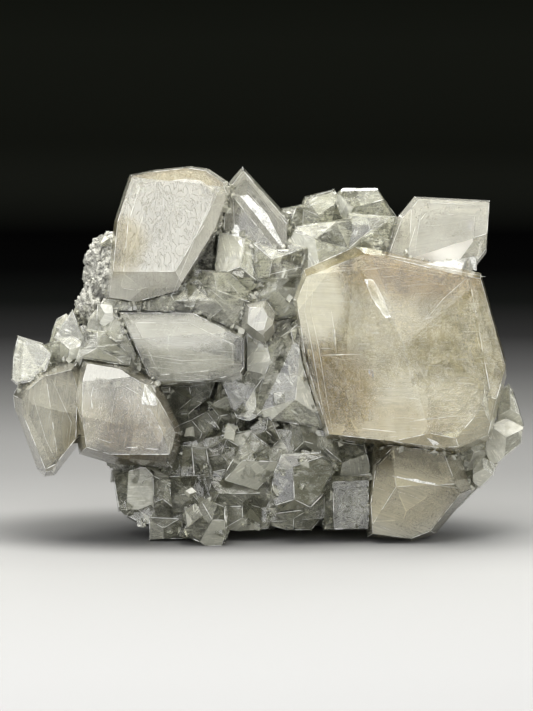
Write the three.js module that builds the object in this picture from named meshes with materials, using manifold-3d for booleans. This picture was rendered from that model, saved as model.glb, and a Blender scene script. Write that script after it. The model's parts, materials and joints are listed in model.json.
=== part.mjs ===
// Calcite with marcasite: a free-standing cabinet specimen. Blocky, pale honey calcite crystals grow
// against and through each other on a crust of granular grey marcasite.
//
// Millimetres, +Z up, X to the right along the display face, Y going back. The origin is the centre of
// the footprint, on the surface that the specimen stands on.
//
// Every crystal is a block trimmed by flat growth faces. The faces are given in the display frame, which
// looks square at the best side: x to the right, v up the display face, w going back into the specimen.
// The finished cluster is tipped back by TIP_BACK, as it stands.
import * as THREE from 'three';
import { mergeVertices } from 'three/addons/utils/BufferGeometryUtils.js';
import Module from 'manifold-3d';

const wasm = await Module();
wasm.setup();

// Driving dimensions.
const TIP_BACK = 6; // degrees that the display face leans back
const BOUNDARY = 0.3; // gap between one piece and the next along a grain boundary
const BLOCK = 300; // side of the rough block that each crystal is trimmed from
const LEAN = 14; // degrees that a side face turns towards the viewer, unless a crystal gives its own
const TAPER = 12; // degrees that a large crystal narrows towards its hidden root
const FLAT_RHOMB = 26; // degrees from the long axis of calcite to a face of its flat rhombohedron
const CLEAVAGE_RHOMB = 44.6; // the same to a face of its cleavage rhombohedron
const MATRIX_SEED = 7; // starts the run of chance that scatters the lumps of the matrix
const CLUSTER_SEED = 31; // the same for the crystals of the free clusters

// ---------------------------------------------------------------------------------------------------
// Trimming and joining

const radians = THREE.MathUtils.degToRad;
const slopeOf = (degrees) => Math.tan(radians(degrees));
const standing = new THREE.Matrix4().makeRotationX(-radians(TIP_BACK));

/** A closed three.js geometry as a solid that can be cut and joined. */
function solidOf(geometry) {
  const bare = geometry.clone();
  bare.deleteAttribute('normal');
  bare.deleteAttribute('uv');
  const merged = mergeVertices(bare, 1e-4);
  return new wasm.Manifold(new wasm.Mesh({
    numProp: 3,
    vertProperties: merged.attributes.position.array,
    triVerts: new Uint32Array(merged.index.array),
  }));
}

/** The geometry of a solid, for a mesh. */
function geometryOf(solid) {
  const { vertProperties, triVerts } = solid.getMesh();
  const geometry = new THREE.BufferGeometry();
  geometry.setAttribute('position', new THREE.BufferAttribute(vertProperties, 3));
  geometry.setIndex(new THREE.BufferAttribute(triVerts, 1));
  return geometry;
}

const roughBlock = solidOf(new THREE.BoxGeometry(BLOCK, BLOCK, BLOCK));
const joined = (solids) => solids.reduce((all, one) => all.add(one));
const cut = (solid, hollows) => hollows.reduce((left, hollow) => left.subtract(hollow), solid);
const cutAtFloor = (solid) => solid.trimByPlane([0, 0, 1], 0);

/** The largest body of a solid that cuts have parted. */
function largestBody(solid) {
  return solid.decompose().reduce((most, body) => (body.volume() > most.volume() ? body : most));
}

/** What stays of the rough block behind all the given faces. */
function trimmed(faces) {
  return faces.reduce(
    (solid, { normal, constant }) => solid.trimByPlane([-normal.x, -normal.y, -normal.z], constant),
    roughBlock,
  );
}

/** A face through the display-frame point (x, v, w) with its outward normal, tipped back as it stands. */
function faceThrough([x, v, w], [nx, nv, nw]) {
  const normal = new THREE.Vector3(nx, nw, nv).normalize();
  return new THREE.Plane()
    .setFromNormalAndCoplanarPoint(normal, new THREE.Vector3(x, w, v))
    .applyMatrix4(standing);
}

/** A face moved out by a distance. */
const movedOut = ({ normal, constant }, distance) => new THREE.Plane(normal, constant - distance);

// ---------------------------------------------------------------------------------------------------
// Crystals

/** A front face through (x, v, w) that goes back by its two rises for each millimetre right and up. */
const face = (x, v, w, riseX, riseV) => faceThrough([x, v, w], [riseX, riseV, -1]);

/** The three front faces of a rhombohedron whose corner (x, v, w) points at the viewer. */
function corner(x, v, w, turn, angle = FLAT_RHOMB, [tiltX, tiltV] = [0, 0]) {
  const slope = slopeOf(angle);
  return [0, 120, 240].map((step) => {
    const around = radians(turn + step);
    return face(x, v, w, slope * Math.cos(around) + tiltX, slope * Math.sin(around) + tiltV);
  });
}

/**
 * The solid of one crystal, from the outline that it shows on the display side.
 * outline: corners [x, v, lean], clockwise. The lean, in degrees, is that of the side face from that corner
 *   to the next: a positive one turns towards the viewer.
 * rim: the depth at which the crystal is as wide as its outline. In front of it the side faces lean in.
 *   Behind it they narrow by taper degrees.
 * spread: how far the sides lie outside the outline, where it is hidden by what has grown over it.
 * front: the faces towards the viewer.
 * back: how deep the root reaches.
 * terraces: [inset, rise] of each layer that has grown on the front without reaching its edges.
 * grow: moves every face out, for the hollow that the crystal leaves in its neighbours.
 */
function crystal(shape, grow = 0) {
  const { outline, rim, front, back, lean = LEAN, taper = TAPER, spread = 0, terraces = [] } = shape;
  const sides = outline.flatMap(([x, v, ownLean = lean], i) => {
    const [nextX, nextV] = outline[(i + 1) % outline.length];
    const out = [v - nextV, nextX - x];
    const length = Math.hypot(...out);
    return [
      faceThrough([x, v, rim], [out[0], out[1], -length * slopeOf(ownLean)]),
      faceThrough([x, v, rim], [out[0], out[1], length * slopeOf(taper)]),
    ];
  });
  const root = faceThrough([0, 0, back], [0, 0, 1]);
  return joined([[0, 0], ...terraces].map(([inset, rise]) => trimmed([
    ...sides.map((side) => movedOut(side, grow + spread - inset)),
    ...front.map((one) => movedOut(one, grow + rise)),
    movedOut(root, grow),
  ])));
}

/** The solid of a crystal that grew freely: three rhombohedron faces at each end and six sides. */
function freeCrystal({ at, axis, turn, radius, half, angle }, grow) {
  const [x, v, w] = at;
  const [ax, av, aw] = axis;
  const along = new THREE.Vector3(ax, aw, av).normalize();
  const across = new THREE.Vector3(0, 0, 1).cross(along).normalize();
  const third = along.clone().cross(across);
  const faceAt = (tip, around, distance) => {
    const normal = along.clone().multiplyScalar(Math.cos(radians(tip)))
      .addScaledVector(across, Math.sin(radians(tip)) * Math.cos(radians(around)))
      .addScaledVector(third, Math.sin(radians(tip)) * Math.sin(radians(around)));
    const point = new THREE.Vector3(x, w, v).addScaledVector(normal, distance + grow);
    return new THREE.Plane().setFromNormalAndCoplanarPoint(normal, point).applyMatrix4(standing);
  };
  const end = half * Math.cos(radians(angle));
  return trimmed([0, 120, 240].flatMap((step) => [
    faceAt(angle, turn + step, end),
    faceAt(180 - angle, turn + step + 60, end),
    faceAt(90, turn + step + 30, radius),
    faceAt(90, turn + step + 90, radius),
  ]));
}

// The blocky crystals, large ones first. Each is its own piece.

const bigCrystal = {
  outline: [
    [6, 55, 7], [8.5, 61.8, 12], [20.5, 67.2, 7], [24, 66.8, 6], [50, 61, 3], [55.8, 40.6, 2], [56, 37, 4],
    [52.2, 22, 5], [45.5, 18.8, 5], [40, 18.6, 5], [13.5, 22.4, 5], [8.2, 40, 5],
  ],
  rim: -16,
  back: 9,
  front: [
    face(31, 47, -33, -0.38, 0.02), // broad left face
    face(31, 47, -33, -0.02, 0.124), // right face
    face(31, 47, -33, -0.09, 0.2), // triangle above them
    face(42, 52.5, -32.55, -0.05, 0.16), // narrow face between the triangle and the right face
    face(21, 61.4, -29, -0.42, 0.5), // top left
    face(35, 62, -30.3, -0.04, 0.52), // along the top
    face(49.5, 49, -32.6, 0.95, 0.3), // narrow right face
    face(30, 24.4, -35.2, -0.2, -0.8), // along the bottom
    face(51, 29, -34.6, 0.7, -0.5), // lower right
  ],
};

const upperLeftCrystal = {
  outline: [
    [-38, 55, 5], [-36.2, 73, 5], [-33.8, 80.5, 5], [-32.5, 84.2, 4], [-27, 85.3, 4], [-18.2, 86.2, 5],
    [-14, 85.6, 6], [-9.7, 82.7, 6], [-8.9, 80, 4], [-12, 71, 4], [-21, 56.2, 4], [-31, 53.8, 4],
  ],
  rim: -9,
  back: 11,
  terraces: [[2.4, 0.5]],
  front: [
    face(-22, 72, -20, -0.03, 0.16), // frosted front face
    face(-16, 71.8, -20.2, 0.85, -0.32), // right side face
    face(-22, 82.5, -18.3, 0.02, 0.62), // top edge
    face(-29, 61.4, -21.5, -0.02, -0.75), // clear face below
  ],
};

const upperRightCrystal = {
  outline: [
    [27.8, 66, 8], [30.6, 74.3, 8], [34.5, 79.1, 4], [52.3, 78.2, 2], [51.5, 65.9, 6], [45, 57.5, 6],
    [32, 58, 6],
  ],
  rim: -4,
  back: 16,
  terraces: [[3.2, 0.35]],
  front: [
    face(42, 72, -13, 0.06, 0.14), // frosted front face
    face(33.5, 72, -13.5, -1, 0.2), // left side face
    face(41.7, 67.2, -13.7, 0.28, -0.55), // bright face below
  ],
};

const lowerRightCrystal = {
  outline: [
    [22.8, 7, 6], [24.6, 20], [28, 24], [43, 23], [45.3, 17.5, 6], [48, 9.9, 8], [39.5, -0.2, 6],
    [34, -2.3, 5], [23.3, -1, 6],
  ],
  rim: -12,
  back: 2,
  taper: 6,
  front: [
    face(30, 11, -27, 0.04, 0.17), // upper face
    face(30, 11, -27, 0.06, -0.28), // lower face
    face(30, 11, -27, -0.55, 0.1), // darker left face
  ],
};

const spearCrystal = {
  outline: [
    [-8, 64, 6], [-11.3, 68, 6], [-10.8, 75, 6], [-9.2, 82.5, 10], [-6, 86.2, 7], [5.1, 74, 4], [5, 66, 4],
    [2, 62.5, 6],
  ],
  rim: -2,
  back: 12,
  front: [
    face(-5, 72, -10, -0.25, 0.06), // left face
    face(-2.6, 75, -9.6, 0.1, 0.34), // long bright face
    face(-0.4, 77, -9.3, 0.6, 0.75), // upper right face
  ],
};

const middleCrystal = {
  outline: [
    [-27, 32.6, 6], [-36, 52.2, 4], [-17, 52.2, 6], [-5.2, 46.4, 3], [-5.2, 38, 6], [-6.6, 35.7, 5],
    [-13.2, 35.1, 5], [-23.4, 32.6, 5],
  ],
  rim: -11,
  back: 5,
  terraces: [[2.2, 0.3]],
  front: [
    face(-16, 43, -21, 0.06, 0.03), // front face
    face(-16, 46.7, -20.9, 0.03, 0.4), // upper face, sloping back
    face(-20.6, 43.6, -21.26, 0.02, -0.15), // lower face, below a slanting ridge
    face(-14, 36.2, -20.2, 0.05, -0.9), // chipped lower edge
  ],
};

// Two crystals that grew through each other at the lower left.
const lowerLeftPair = [
  {
    outline: [
      [-59.8, 32.3, 16], [-58.5, 35, 16], [-55, 38.6, 12], [-44, 41], [-42, 34], [-42, 24, 6],
      [-50, 13.6, 6], [-52.5, 13.2, 6], [-54.2, 15, 10], [-59.4, 29, 14],
    ],
    rim: -15,
    back: -3,
    front: [
      face(-50.5, 27, -27, -0.48, 0.02), // left face
      face(-50.5, 27, -27, 0.12, 0.11), // right face
      face(-52, 37.5, -25.8, -0.1, 0.8), // top
      face(-51, 17, -28, -0.1, -0.7), // lower tip
    ],
  },
  {
    outline: [
      [-46.2, 32, 8], [-45.3, 36, 8], [-43.5, 40.7, 4], [-31.7, 38.9, 8], [-26.5, 36, 8], [-24.5, 33, 6],
      [-20.1, 23.8, 6], [-20.8, 20, 6], [-22.5, 15.3, 6], [-36.5, 16.2, 8], [-44.3, 18.6, 8],
    ],
    rim: -18,
    back: -4,
    terraces: [[2.6, 0.3]],
    front: [
      face(-35, 28, -33, 0.02, 0.03), // front face
      face(-37, 36.2, -32.8, -0.08, 0.95), // white face above
      face(-27.6, 30, -32.8, 0.42, 0.2), // right face
      face(-43.8, 28, -32.9, -0.7, 0.05), // left edge
      face(-33, 18.5, -33.2, 0.02, -0.5), // lower edge
    ],
  },
];

// Smaller crystals that stand alone.

// Crystals that meet in the middle of the specimen: a tall pale one, and darker ones beside it.
const centreCluster = [
  {
    outline: [[-3.5, 28], [0, 37], [3.5, 45.5], [7.6, 48.5], [14, 48], [14, 25], [11.5, 24.2], [0, 27.4]],
    rim: -6,
    back: 3,
    front: [face(7.6, 38, -16, 0.3, 0.06), face(3.6, 38, -15.6, -0.16, 0.1), face(1.5, 36, -15.2, -0.8, 0.4),
      face(5, 45, -15.2, 0.1, 0.6), face(5, 29, -15.8, 0, -0.4)],
  },
  {
    outline: [[-7, 37], [-7, 46.5], [-1, 48], [2, 50], [9, 49.5], [8, 44], [3, 35.5], [-4, 35]],
    rim: -4,
    back: 3,
    front: [face(0, 42, -13, -0.35, 0.15), face(0.5, 42, -13, 0.3, 0.3), face(-1.5, 40, -12.8, -0.2, -0.5)],
  },
  {
    outline: [[-10.4, 36.5], [-3, 37.4], [0.4, 35], [-1.5, 28.5], [-4.5, 27], [-6.8, 27.6]],
    rim: -6,
    back: 3,
    front: [face(-4, 32, -14, -0.2, 0.05), face(-3.6, 34, -14, 0.05, 0.7), face(-2.4, 31, -13.8, 0.9, 0.1)],
  },
];

const smallBrightCrystal = {
  outline: [[-6.7, 48.5], [-5.7, 54.3], [-0.4, 54.6], [1.7, 51.5, 4], [1.5, 47], [-0.5, 44.2], [-3.5, 45.7]],
  rim: -12,
  back: 0,
  front: [face(-3, 50, -19, -0.15, 0.3), face(0.2, 50, -18.9, 0.9, 0), face(-3, 46.8, -19.4, 0, -0.7)],
};

// The small crystals between the large ones. Those of one cluster have grown into each other.

const small = (shapes, spread) => shapes.map((shape) => ({ taper: 3, lean: 4, back: 4, spread, ...shape }));

const topCluster = [
  {
    outline: [[8, 72], [8.2, 77.8], [8.8, 79], [15.6, 80.8, 8], [18.2, 73], [15, 71.5], [9.6, 69.7]],
    rim: 1,
    back: 12,
    front: corner(12, 74.5, -6, 95, FLAT_RHOMB, [0.1, -0.1]),
  },
  {
    outline: [[15.5, 76], [16.2, 79.9], [17.8, 81, 10], [25.7, 81], [30.3, 74.3], [28, 71], [17, 72]],
    rim: 4,
    back: 15,
    front: corner(20, 76.5, -2, 75, FLAT_RHOMB, [0.1, 0]),
  },
  {
    outline: [[16.5, 63], [19, 75.3], [30.3, 74.3], [33, 73], [32, 60]],
    rim: -2,
    back: 12,
    front: corner(24, 71, -9, 40, FLAT_RHOMB, [0.2, 0]),
  },
  {
    outline: [[3, 62], [4, 67], [6.5, 72], [19.6, 74], [20.5, 62]],
    rim: -4,
    back: 10,
    front: corner(11, 69, -12, 100, FLAT_RHOMB, [0, 0.2]),
  },
  {
    outline: [[3.4, 66], [3.5, 76.3], [8, 77.2], [10, 73], [9, 66]],
    rim: 3,
    back: 12,
    front: corner(5.5, 73.5, -2, 10),
  },
  {
    outline: [[-5.6, 63.5], [-4.6, 68], [2, 69.4], [11.5, 66.5], [10, 60.4], [-3, 58.8]],
    rim: -6,
    back: 8,
    front: corner(1, 64.2, -14, 80, FLAT_RHOMB, [0, 0.2]),
  },
  {
    outline: [[-3.6, 58.5], [0, 63.5], [10.5, 63.5], [9.5, 54], [8, 46.5], [0, 46], [-3, 54]],
    rim: -6,
    back: 6,
    front: corner(2, 57, -13, 20, FLAT_RHOMB, [0, -0.1]),
  },
];

const brownCluster = [
  {
    outline: [[-22, 55.5], [-19.2, 60.7], [-10, 60.6], [-4.5, 56], [-4.5, 45], [-14, 47]],
    rim: -9,
    back: 4,
    front: corner(-12, 57, -16, 160, FLAT_RHOMB, [0, 0.15]),
  },
  {
    outline: [[-11.9, 60], [-10.6, 69.5], [-4, 68], [-1, 60.5], [-2.5, 53], [-8, 52]],
    rim: -6,
    back: 4,
    front: corner(-6.5, 62.5, -14, 20),
  },
  {
    outline: [[-30, 49], [-28.5, 56.5], [-23, 58.5], [-17, 58.5], [-12, 53], [-18, 48]],
    rim: -12,
    back: 0,
    front: corner(-22, 54.5, -18, 60, FLAT_RHOMB, [0, 0.2]),
  },
];

const leftCluster = [
  {
    outline: [[-60.2, 36], [-59.7, 42], [-58.7, 46.1], [-53, 44.4], [-50.5, 42], [-52, 36], [-58.6, 34.6]],
    rim: -14,
    back: -2,
    front: [face(-56, 41, -21, -0.1, 0.25), face(-57.6, 41, -20.8, -0.9, 0.3)],
  },
  {
    outline: [[-50.3, 45.8], [-46, 52.2], [-43.2, 45.7], [-46, 42]],
    rim: -10,
    back: 0,
    front: [face(-46.5, 47.5, -14, -0.1, 0.2), face(-46.5, 45, -14.2, 0, -0.8)],
  },
  {
    outline: [[-52, 44], [-50.5, 48], [-50, 50], [-47.5, 51.4], [-44, 47], [-47, 42]],
    rim: -5,
    back: 4,
    front: corner(-49, 48, -8, 100),
  },
  {
    outline: [[-54.5, 36], [-53, 44], [-46, 46.5], [-40.5, 43], [-40, 36], [-48, 33]],
    rim: -10,
    back: 2,
    front: corner(-46.5, 43, -18, 80, CLEAVAGE_RHOMB),
  },
  {
    outline: [[-45.5, 40], [-43, 48], [-38, 47.5], [-32, 41.5], [-33, 35], [-44, 35]],
    rim: -12,
    back: 2,
    front: corner(-40, 43.5, -20, 30, FLAT_RHOMB, [0.1, 0.2]),
  },
  {
    outline: [[-43.5, 43], [-42, 50.5], [-38, 55], [-27, 55], [-23, 44], [-23, 33], [-33, 33]],
    rim: -10,
    back: 3,
    front: corner(-34, 46, -17.5, 140, FLAT_RHOMB, [-0.1, 0.1]),
  },
  {
    outline: [[-40.2, 49.8], [-40, 53.6], [-36.6, 53.4], [-36.2, 50], [-38.5, 48.5]],
    rim: -12,
    back: 0,
    front: corner(-38.3, 51.6, -16, 60),
  },
];

const rightCluster = [
  {
    outline: [[50.8, 19], [52, 25.5], [56, 27], [60.2, 25], [59.6, 21], [54, 16.2], [52.3, 16]],
    rim: -5,
    back: 6,
    front: corner(56, 22.5, -13, 85, FLAT_RHOMB, [0.1, 0.1]),
  },
  {
    outline: [[48, 12], [48, 17], [50, 18.4], [54, 16], [53, 13.5], [49.8, 10.5]],
    rim: -6,
    back: 4,
    front: corner(50.5, 15, -13, 30),
  },
  {
    outline: [[54, 26], [54.5, 33], [56.7, 34.8], [57.8, 33], [60.3, 25], [57, 23]],
    rim: -2,
    back: 9,
    front: corner(57, 29, -8, 150),
  },
  {
    outline: [[45, 17], [45.5, 21], [50, 23], [53, 20], [49, 15], [46, 14]],
    rim: -4,
    back: 6,
    front: corner(48.5, 19, -11, 70),
  },
  {
    outline: [[40, 8], [42, 16], [50, 15], [50, 11], [45, 6]],
    rim: 0,
    back: 10,
    front: corner(46, 12, -5, 100),
  },
];

// The crust of small crystals under the middle of the specimen, from the upper left to the lower right.
const lowerCrust = [
  // Bed that the small crystals share.
  {
    outline: [[-33, 4], [-33, 14], [-20, 21], [-4, 24], [12, 24], [23, 20], [23, 2], [-6, 2], [-27, 0.5]],
    rim: -8,
    back: 4,
    front: [face(-5, 12, -15.4, 0, 0.2)],
  },
  {
    outline: [[-20.5, 20], [-20.3, 25.2], [-14.5, 28], [-10.5, 23], [-14.8, 19]],
    rim: -8,
    front: corner(-15.5, 23.5, -15, 70, CLEAVAGE_RHOMB),
  },
  {
    outline: [[-10.8, 22], [-10.2, 25.2], [-7.6, 25.4], [-6.8, 23], [-8, 21]],
    rim: -9,
    front: corner(-8.8, 23.7, -13.5, 0),
  },
  {
    outline: [[-14.5, 19.8], [-10.2, 22.2], [-6.6, 20], [-7.5, 15.5], [-13, 14.5]],
    rim: -10,
    front: corner(-11, 18.5, -17, 130, FLAT_RHOMB, [-0.1, 0.1]),
  },
  {
    outline: [[-12, 13], [-7, 19.5], [-4.5, 24], [2.9, 18.5], [1.5, 14.5], [-2.7, 10.2]],
    rim: -12,
    front: [face(-2, 16.9, -21, 0.05, 0.35), face(-2, 16.9, -21, 0.02, -0.45),
      face(-7, 17, -20.6, -0.6, 0.1)],
  },
  {
    outline: [[-4, 24.5], [-0.5, 27.5], [0.8, 26.2], [2.6, 22], [0.5, 20], [-3.5, 22.5]],
    rim: -10,
    front: corner(-0.5, 24, -16, 20, FLAT_RHOMB, [0.1, 0.1]),
  },
  {
    outline: [[0.7, 9.5], [1.2, 14], [3.2, 18.5], [12.2, 18.8], [16, 15.5], [12.9, 9], [9.5, 5.5], [2, 4.6]],
    rim: -16,
    front: [face(6, 12, -26, -0.18, 0.1), face(6, 12, -26, 0.3, 0.12), face(6.5, 15.4, -25.8, 0.05, 0.85),
      face(6, 7.5, -26.2, 0, -0.5)],
  },
  {
    outline: [[13.3, 1], [13.2, 13.2], [23.5, 13.6], [23.5, 1]],
    rim: -14,
    front: [face(18, 8, -21, 0.03, 0.02), face(18, 12, -21, 0, 0.8), face(15, 8, -20.9, -0.6, 0)],
  },
  {
    outline: [[12.5, 11], [13, 22], [22, 22.5], [24, 15], [22, 11]],
    rim: -10,
    front: corner(17.5, 16.5, -18, 200, FLAT_RHOMB, [0, 0.1]),
  },
  {
    outline: [[0, 2.2], [0, 4.5], [7, 5.4], [12, 3.4], [10, 1], [4.5, 0.9]],
    rim: -12,
    front: corner(6, 3.4, -18, 90),
  },
  {
    outline: [[-20, 0], [-18, 4], [-14.8, 8.3], [-10, 6.2], [-10, 0], [-11, -3.4], [-13.5, -3.2]],
    rim: -20,
    front: corner(-13, 3.2, -30, 60, FLAT_RHOMB, [0, -0.1]),
  },
  {
    outline: [[-20, 3], [-19.4, 6], [-17, 6.9], [-15.3, 5], [-15.6, 2.6], [-18, 1.8]],
    rim: -20,
    front: corner(-17.6, 4.4, -25.5, 100),
  },
  {
    outline: [[-26.5, 3.3], [-26.7, 13], [-22.8, 11.4], [-22.4, 3.2]],
    rim: -14,
    front: corner(-24.6, 8, -20, 20),
  },
  {
    outline: [[-36, 13.5], [-29, 15.6], [-26.6, 13], [-27, 7], [-30.3, 5.5], [-34.8, 5.5]],
    rim: -11,
    front: [face(-31, 11, -18, 0.15, 0.05), face(-33.5, 11, -17.8, -0.8, 0.1)],
  },
  {
    outline: [[-27.5, -1.3], [-27.6, 3.5], [-20.5, 3.2], [-20, -1]],
    rim: -14,
    front: corner(-24.5, 1.2, -20, 90),
  },
  {
    outline: [[-20.4, 13], [-20.6, 20.5], [-14.6, 20], [-13.6, 13]],
    rim: -12,
    front: [face(-17.5, 16, -19, 0.3, 0.1), face(-17.5, 16, -19, -0.25, 0.05)],
  },
  {
    outline: [[-22.5, 5], [-23, 13], [-15, 13.5], [-13.5, 8], [-16, 5]],
    rim: -14,
    front: corner(-18, 9.4, -21, 10, FLAT_RHOMB, [0, 0.1]),
  },
  {
    outline: [[-14, 8], [-13, 13.5], [-3.5, 11.5], [1, 9], [-1, 5], [-10, 4]],
    rim: -11,
    front: [face(-6, 9.3, -18, 0.05, 0.5), face(-6, 9.3, -18, 0.05, -0.35), face(-12, 9, -18, -0.6, 0)],
  },
  {
    outline: [[-10.2, 1], [-10.2, 6], [-4, 6.4], [1, 5], [0, 1.2], [-7, 0.6]],
    rim: -12,
    front: corner(-6, 3.6, -19, 150),
  },
  {
    outline: [[2.6, 18], [4, 25], [12, 26.5], [15, 22], [13, 17.5]],
    rim: -8,
    front: corner(8.5, 21.5, -15, 45, FLAT_RHOMB, [0, 0.15]),
  },
  // Dark crystals deep in the recess above the crust.
  {
    outline: [[-26, 30], [-23, 35.5], [-12.8, 35.5], [-14, 31.8], [-19, 28.2], [-23, 28]],
    rim: -5,
    front: corner(-18, 31.4, -11, 160, FLAT_RHOMB, [0, -0.2]),
  },
  {
    outline: [[-12.7, 31], [-11, 36], [-8, 36], [-6, 31], [-8, 27.5], [-12.5, 28.5]],
    rim: -5,
    front: corner(-10, 32, -10, 30),
  },
  {
    outline: [[-25.5, 22.5], [-25.5, 30], [-19, 29.6], [-14.5, 27.5], [-16, 22.5]],
    rim: -4,
    front: corner(-20, 26.8, -9, 100),
  },
  {
    outline: [[-16.5, 25], [-15.5, 31.5], [-8.5, 31], [-5, 27.4], [-7, 22.5]],
    rim: -5,
    front: corner(-11.5, 27.4, -10, 70, FLAT_RHOMB, [0, 0.2]),
  },
  {
    outline: [[-26, 10], [-26, 16.5], [-21, 18.5], [-18, 14], [-21, 10]],
    rim: -8,
    front: corner(-23, 14, -13, 80),
  },
];

// Clusters that grew freely around the back, the sides and the top: middle, the way they face, how many
// crystals, how far they spread and the largest half-length.
const freeClusters = {
  back_upper_left_cluster: { at: [-25, 64, 16], axis: [-0.5, 0.6, 0.7], count: 6, spread: 7, half: 10 },
  back_left_cluster: { at: [-32, 39, 16], axis: [-0.8, 0.1, 0.7], count: 6, spread: 8, half: 10 },
  back_upper_right_cluster: { at: [22, 60, 22], axis: [0.2, 0.7, 0.8], count: 7, spread: 10, half: 12 },
  back_right_cluster: { at: [42, 33, 15], axis: [0.9, 0.1, 0.6], count: 7, spread: 8, half: 11 },
  back_lower_cluster: { at: [-6, 16, 22], axis: [-0.1, -0.2, 1], count: 6, spread: 9, half: 9 },
};
const SMALLEST_OF_CLUSTER = 0.6; // of the largest
const STOUTNESS = 0.62; // half-width of a free crystal, of its half-length
const FANNING = 0.9; // how far the crystals of a cluster turn away from its middle

// ---------------------------------------------------------------------------------------------------
// The marcasite matrix

// Masses of marcasite in the display frame: centre and half-widths in x, v, w. The first is the matrix that
// everything sits on, broken off at the back.
const marcasiteMasses = [
  { centre: [3, 38, 13], reach: [48, 38, 19], detail: 7, broken: true },
  { centre: [-36.8, 61, 5], reach: [6.8, 9.6, 9], detail: 3 },
  { centre: [-41.5, 53, 2], reach: [4, 4.6, 6], detail: 2 },
  { centre: [-14, 63, 4], reach: [9, 8, 8], detail: 3 },
];
// Broken faces of the matrix: how far each lies from the centre, of the half-width, and the way it faces.
const brokenFaces = [
  [0.78, [0.15, 0.1, 1]], [0.8, [-0.7, 0.25, 0.9]], [0.82, [0.75, -0.1, 0.8]], [0.8, [0.1, 0.9, 0.6]],
  [0.84, [-0.3, -0.8, 0.7]], [0.86, [0.5, -0.8, 0.5]],
];
// Lumps of two sizes: how many, how far they rise, of the half-width, and the angle that each covers.
const lumpSizes = [
  { count: 24, rise: 0.1, spread: 0.5 },
  { count: 90, rise: 0.045, spread: 0.2 },
];

/** A run of chance between 0 and 1 that is the same every time. */
function chanceFrom(seed) {
  let state = seed;
  return () => {
    state = (state * 1664525 + 1013904223) % 4294967296;
    return state / 4294967296;
  };
}

/** One lumpy mass of marcasite. */
function marcasiteMass({ centre: [x, v, w], reach: [reachX, reachV, reachW], detail, broken = false }, seed) {
  const chance = chanceFrom(seed);
  const lumps = lumpSizes.flatMap(({ count, ...size }) => Array.from({ length: count }, () => ({
    ...size, towards: new THREE.Vector3(chance() - 0.5, chance() - 0.5, chance() - 0.5).normalize(),
  })));
  const breaks = (broken ? brokenFaces : []).map(([far, [bx, bv, bw]]) =>
    [far, new THREE.Vector3(bx, bw, bv).normalize()]);
  const geometry = new THREE.IcosahedronGeometry(1, detail);
  const points = geometry.attributes.position;
  const point = new THREE.Vector3();
  for (let i = 0; i < points.count; i += 1) {
    point.fromBufferAttribute(points, i).normalize();
    const raised = lumps.map(({ towards, rise, spread }) =>
      rise * Math.sqrt(Math.max(1 - point.angleTo(towards) / spread, 0)));
    const reached = breaks.map(([far, normal]) => far / Math.max(point.dot(normal), 0.01));
    point.multiplyScalar(Math.min(1, ...reached) + Math.max(...raised));
    points.setXYZ(i, point.x, point.y, point.z);
  }
  geometry.scale(reachX, reachW, reachV).translate(x, w, v).applyMatrix4(standing);
  return solidOf(geometry);
}

/** The crystals of a cluster that grew freely, which fan out from its middle. */
function fannedOut({ at, axis, count, spread, half }, seed) {
  const chance = chanceFrom(seed);
  const either = () => 2 * chance() - 1;
  return Array.from({ length: count }, (_, i) => {
    const aside = i === 0 ? [0, 0, 0] : [either(), either(), either() * 0.4];
    return {
      at: at.map((middle, k) => middle + aside[k] * spread),
      axis: axis.map((part, k) => part + aside[k] * FANNING),
      turn: 120 * chance(),
      half: half * (1 - (1 - SMALLEST_OF_CLUSTER) * (i / count)),
      radius: half * STOUTNESS * (1 - (1 - SMALLEST_OF_CLUSTER) * (i / count)),
      angle: i % 3 === 0 ? CLEAVAGE_RHOMB : FLAT_RHOMB,
    };
  });
}

// ---------------------------------------------------------------------------------------------------
// The specimen

const one = (shape) => [crystal(shape), crystal(shape, BOUNDARY)];
const many = (shapes) => [
  joined(shapes.map((shape) => crystal(shape))),
  joined(shapes.map((shape) => crystal(shape, BOUNDARY))),
];

// Name, solid and hollow of each piece. A piece gives way to all those before it.
const pieces = [
  ['big_crystal', ...one(bigCrystal)],
  ['lower_left_crystal_pair', ...many(lowerLeftPair)],
  ['lower_right_crystal', ...one(lowerRightCrystal)],
  ['upper_left_crystal', ...one(upperLeftCrystal)],
  ['upper_right_crystal', ...one(upperRightCrystal)],
  ['middle_crystal', ...one(middleCrystal)],
  ['spear_crystal', ...one(spearCrystal)],
  ['small_bright_crystal', ...one(smallBrightCrystal)],
  ['lower_crystal_crust', ...many(small(lowerCrust, 0.5))],
  ['centre_crystal_cluster', ...many(small(centreCluster, 1.2))],
  ['top_crystal_cluster', ...many(small(topCluster, 0.2))],
  ['left_crystal_cluster', ...many(small(leftCluster, 0.2))],
  ['brown_crystal_cluster', ...many(small(brownCluster, 1.2))],
  ['right_crystal_cluster', ...many(small(rightCluster, 0.2))],
];
Object.entries(freeClusters).forEach(([name, cluster], i) => {
  const crystals = fannedOut(cluster, CLUSTER_SEED + i);
  const grown = (grow) => joined(crystals.map((shape) => freeCrystal(shape, grow)));
  pieces.push([name, grown(0), grown(BOUNDARY)]);
});
const matrix = joined(marcasiteMasses.map((mass, i) => marcasiteMass(mass, MATRIX_SEED + i)));
pieces.push(['marcasite_matrix', matrix, matrix]);

const fitted = pieces.map(([name, solid], i) => {
  const hollows = pieces.slice(0, i).map(([, , hollow]) => hollow);
  return [name, largestBody(cutAtFloor(cut(solid, hollows)))];
});

// The origin goes to the centre of the footprint box.
const boxes = fitted.map(([, solid]) => solid.boundingBox());
const centre = [0, 1].map((axis) =>
  (Math.min(...boxes.map(({ min }) => min[axis])) + Math.max(...boxes.map(({ max }) => max[axis]))) / 2);

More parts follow.
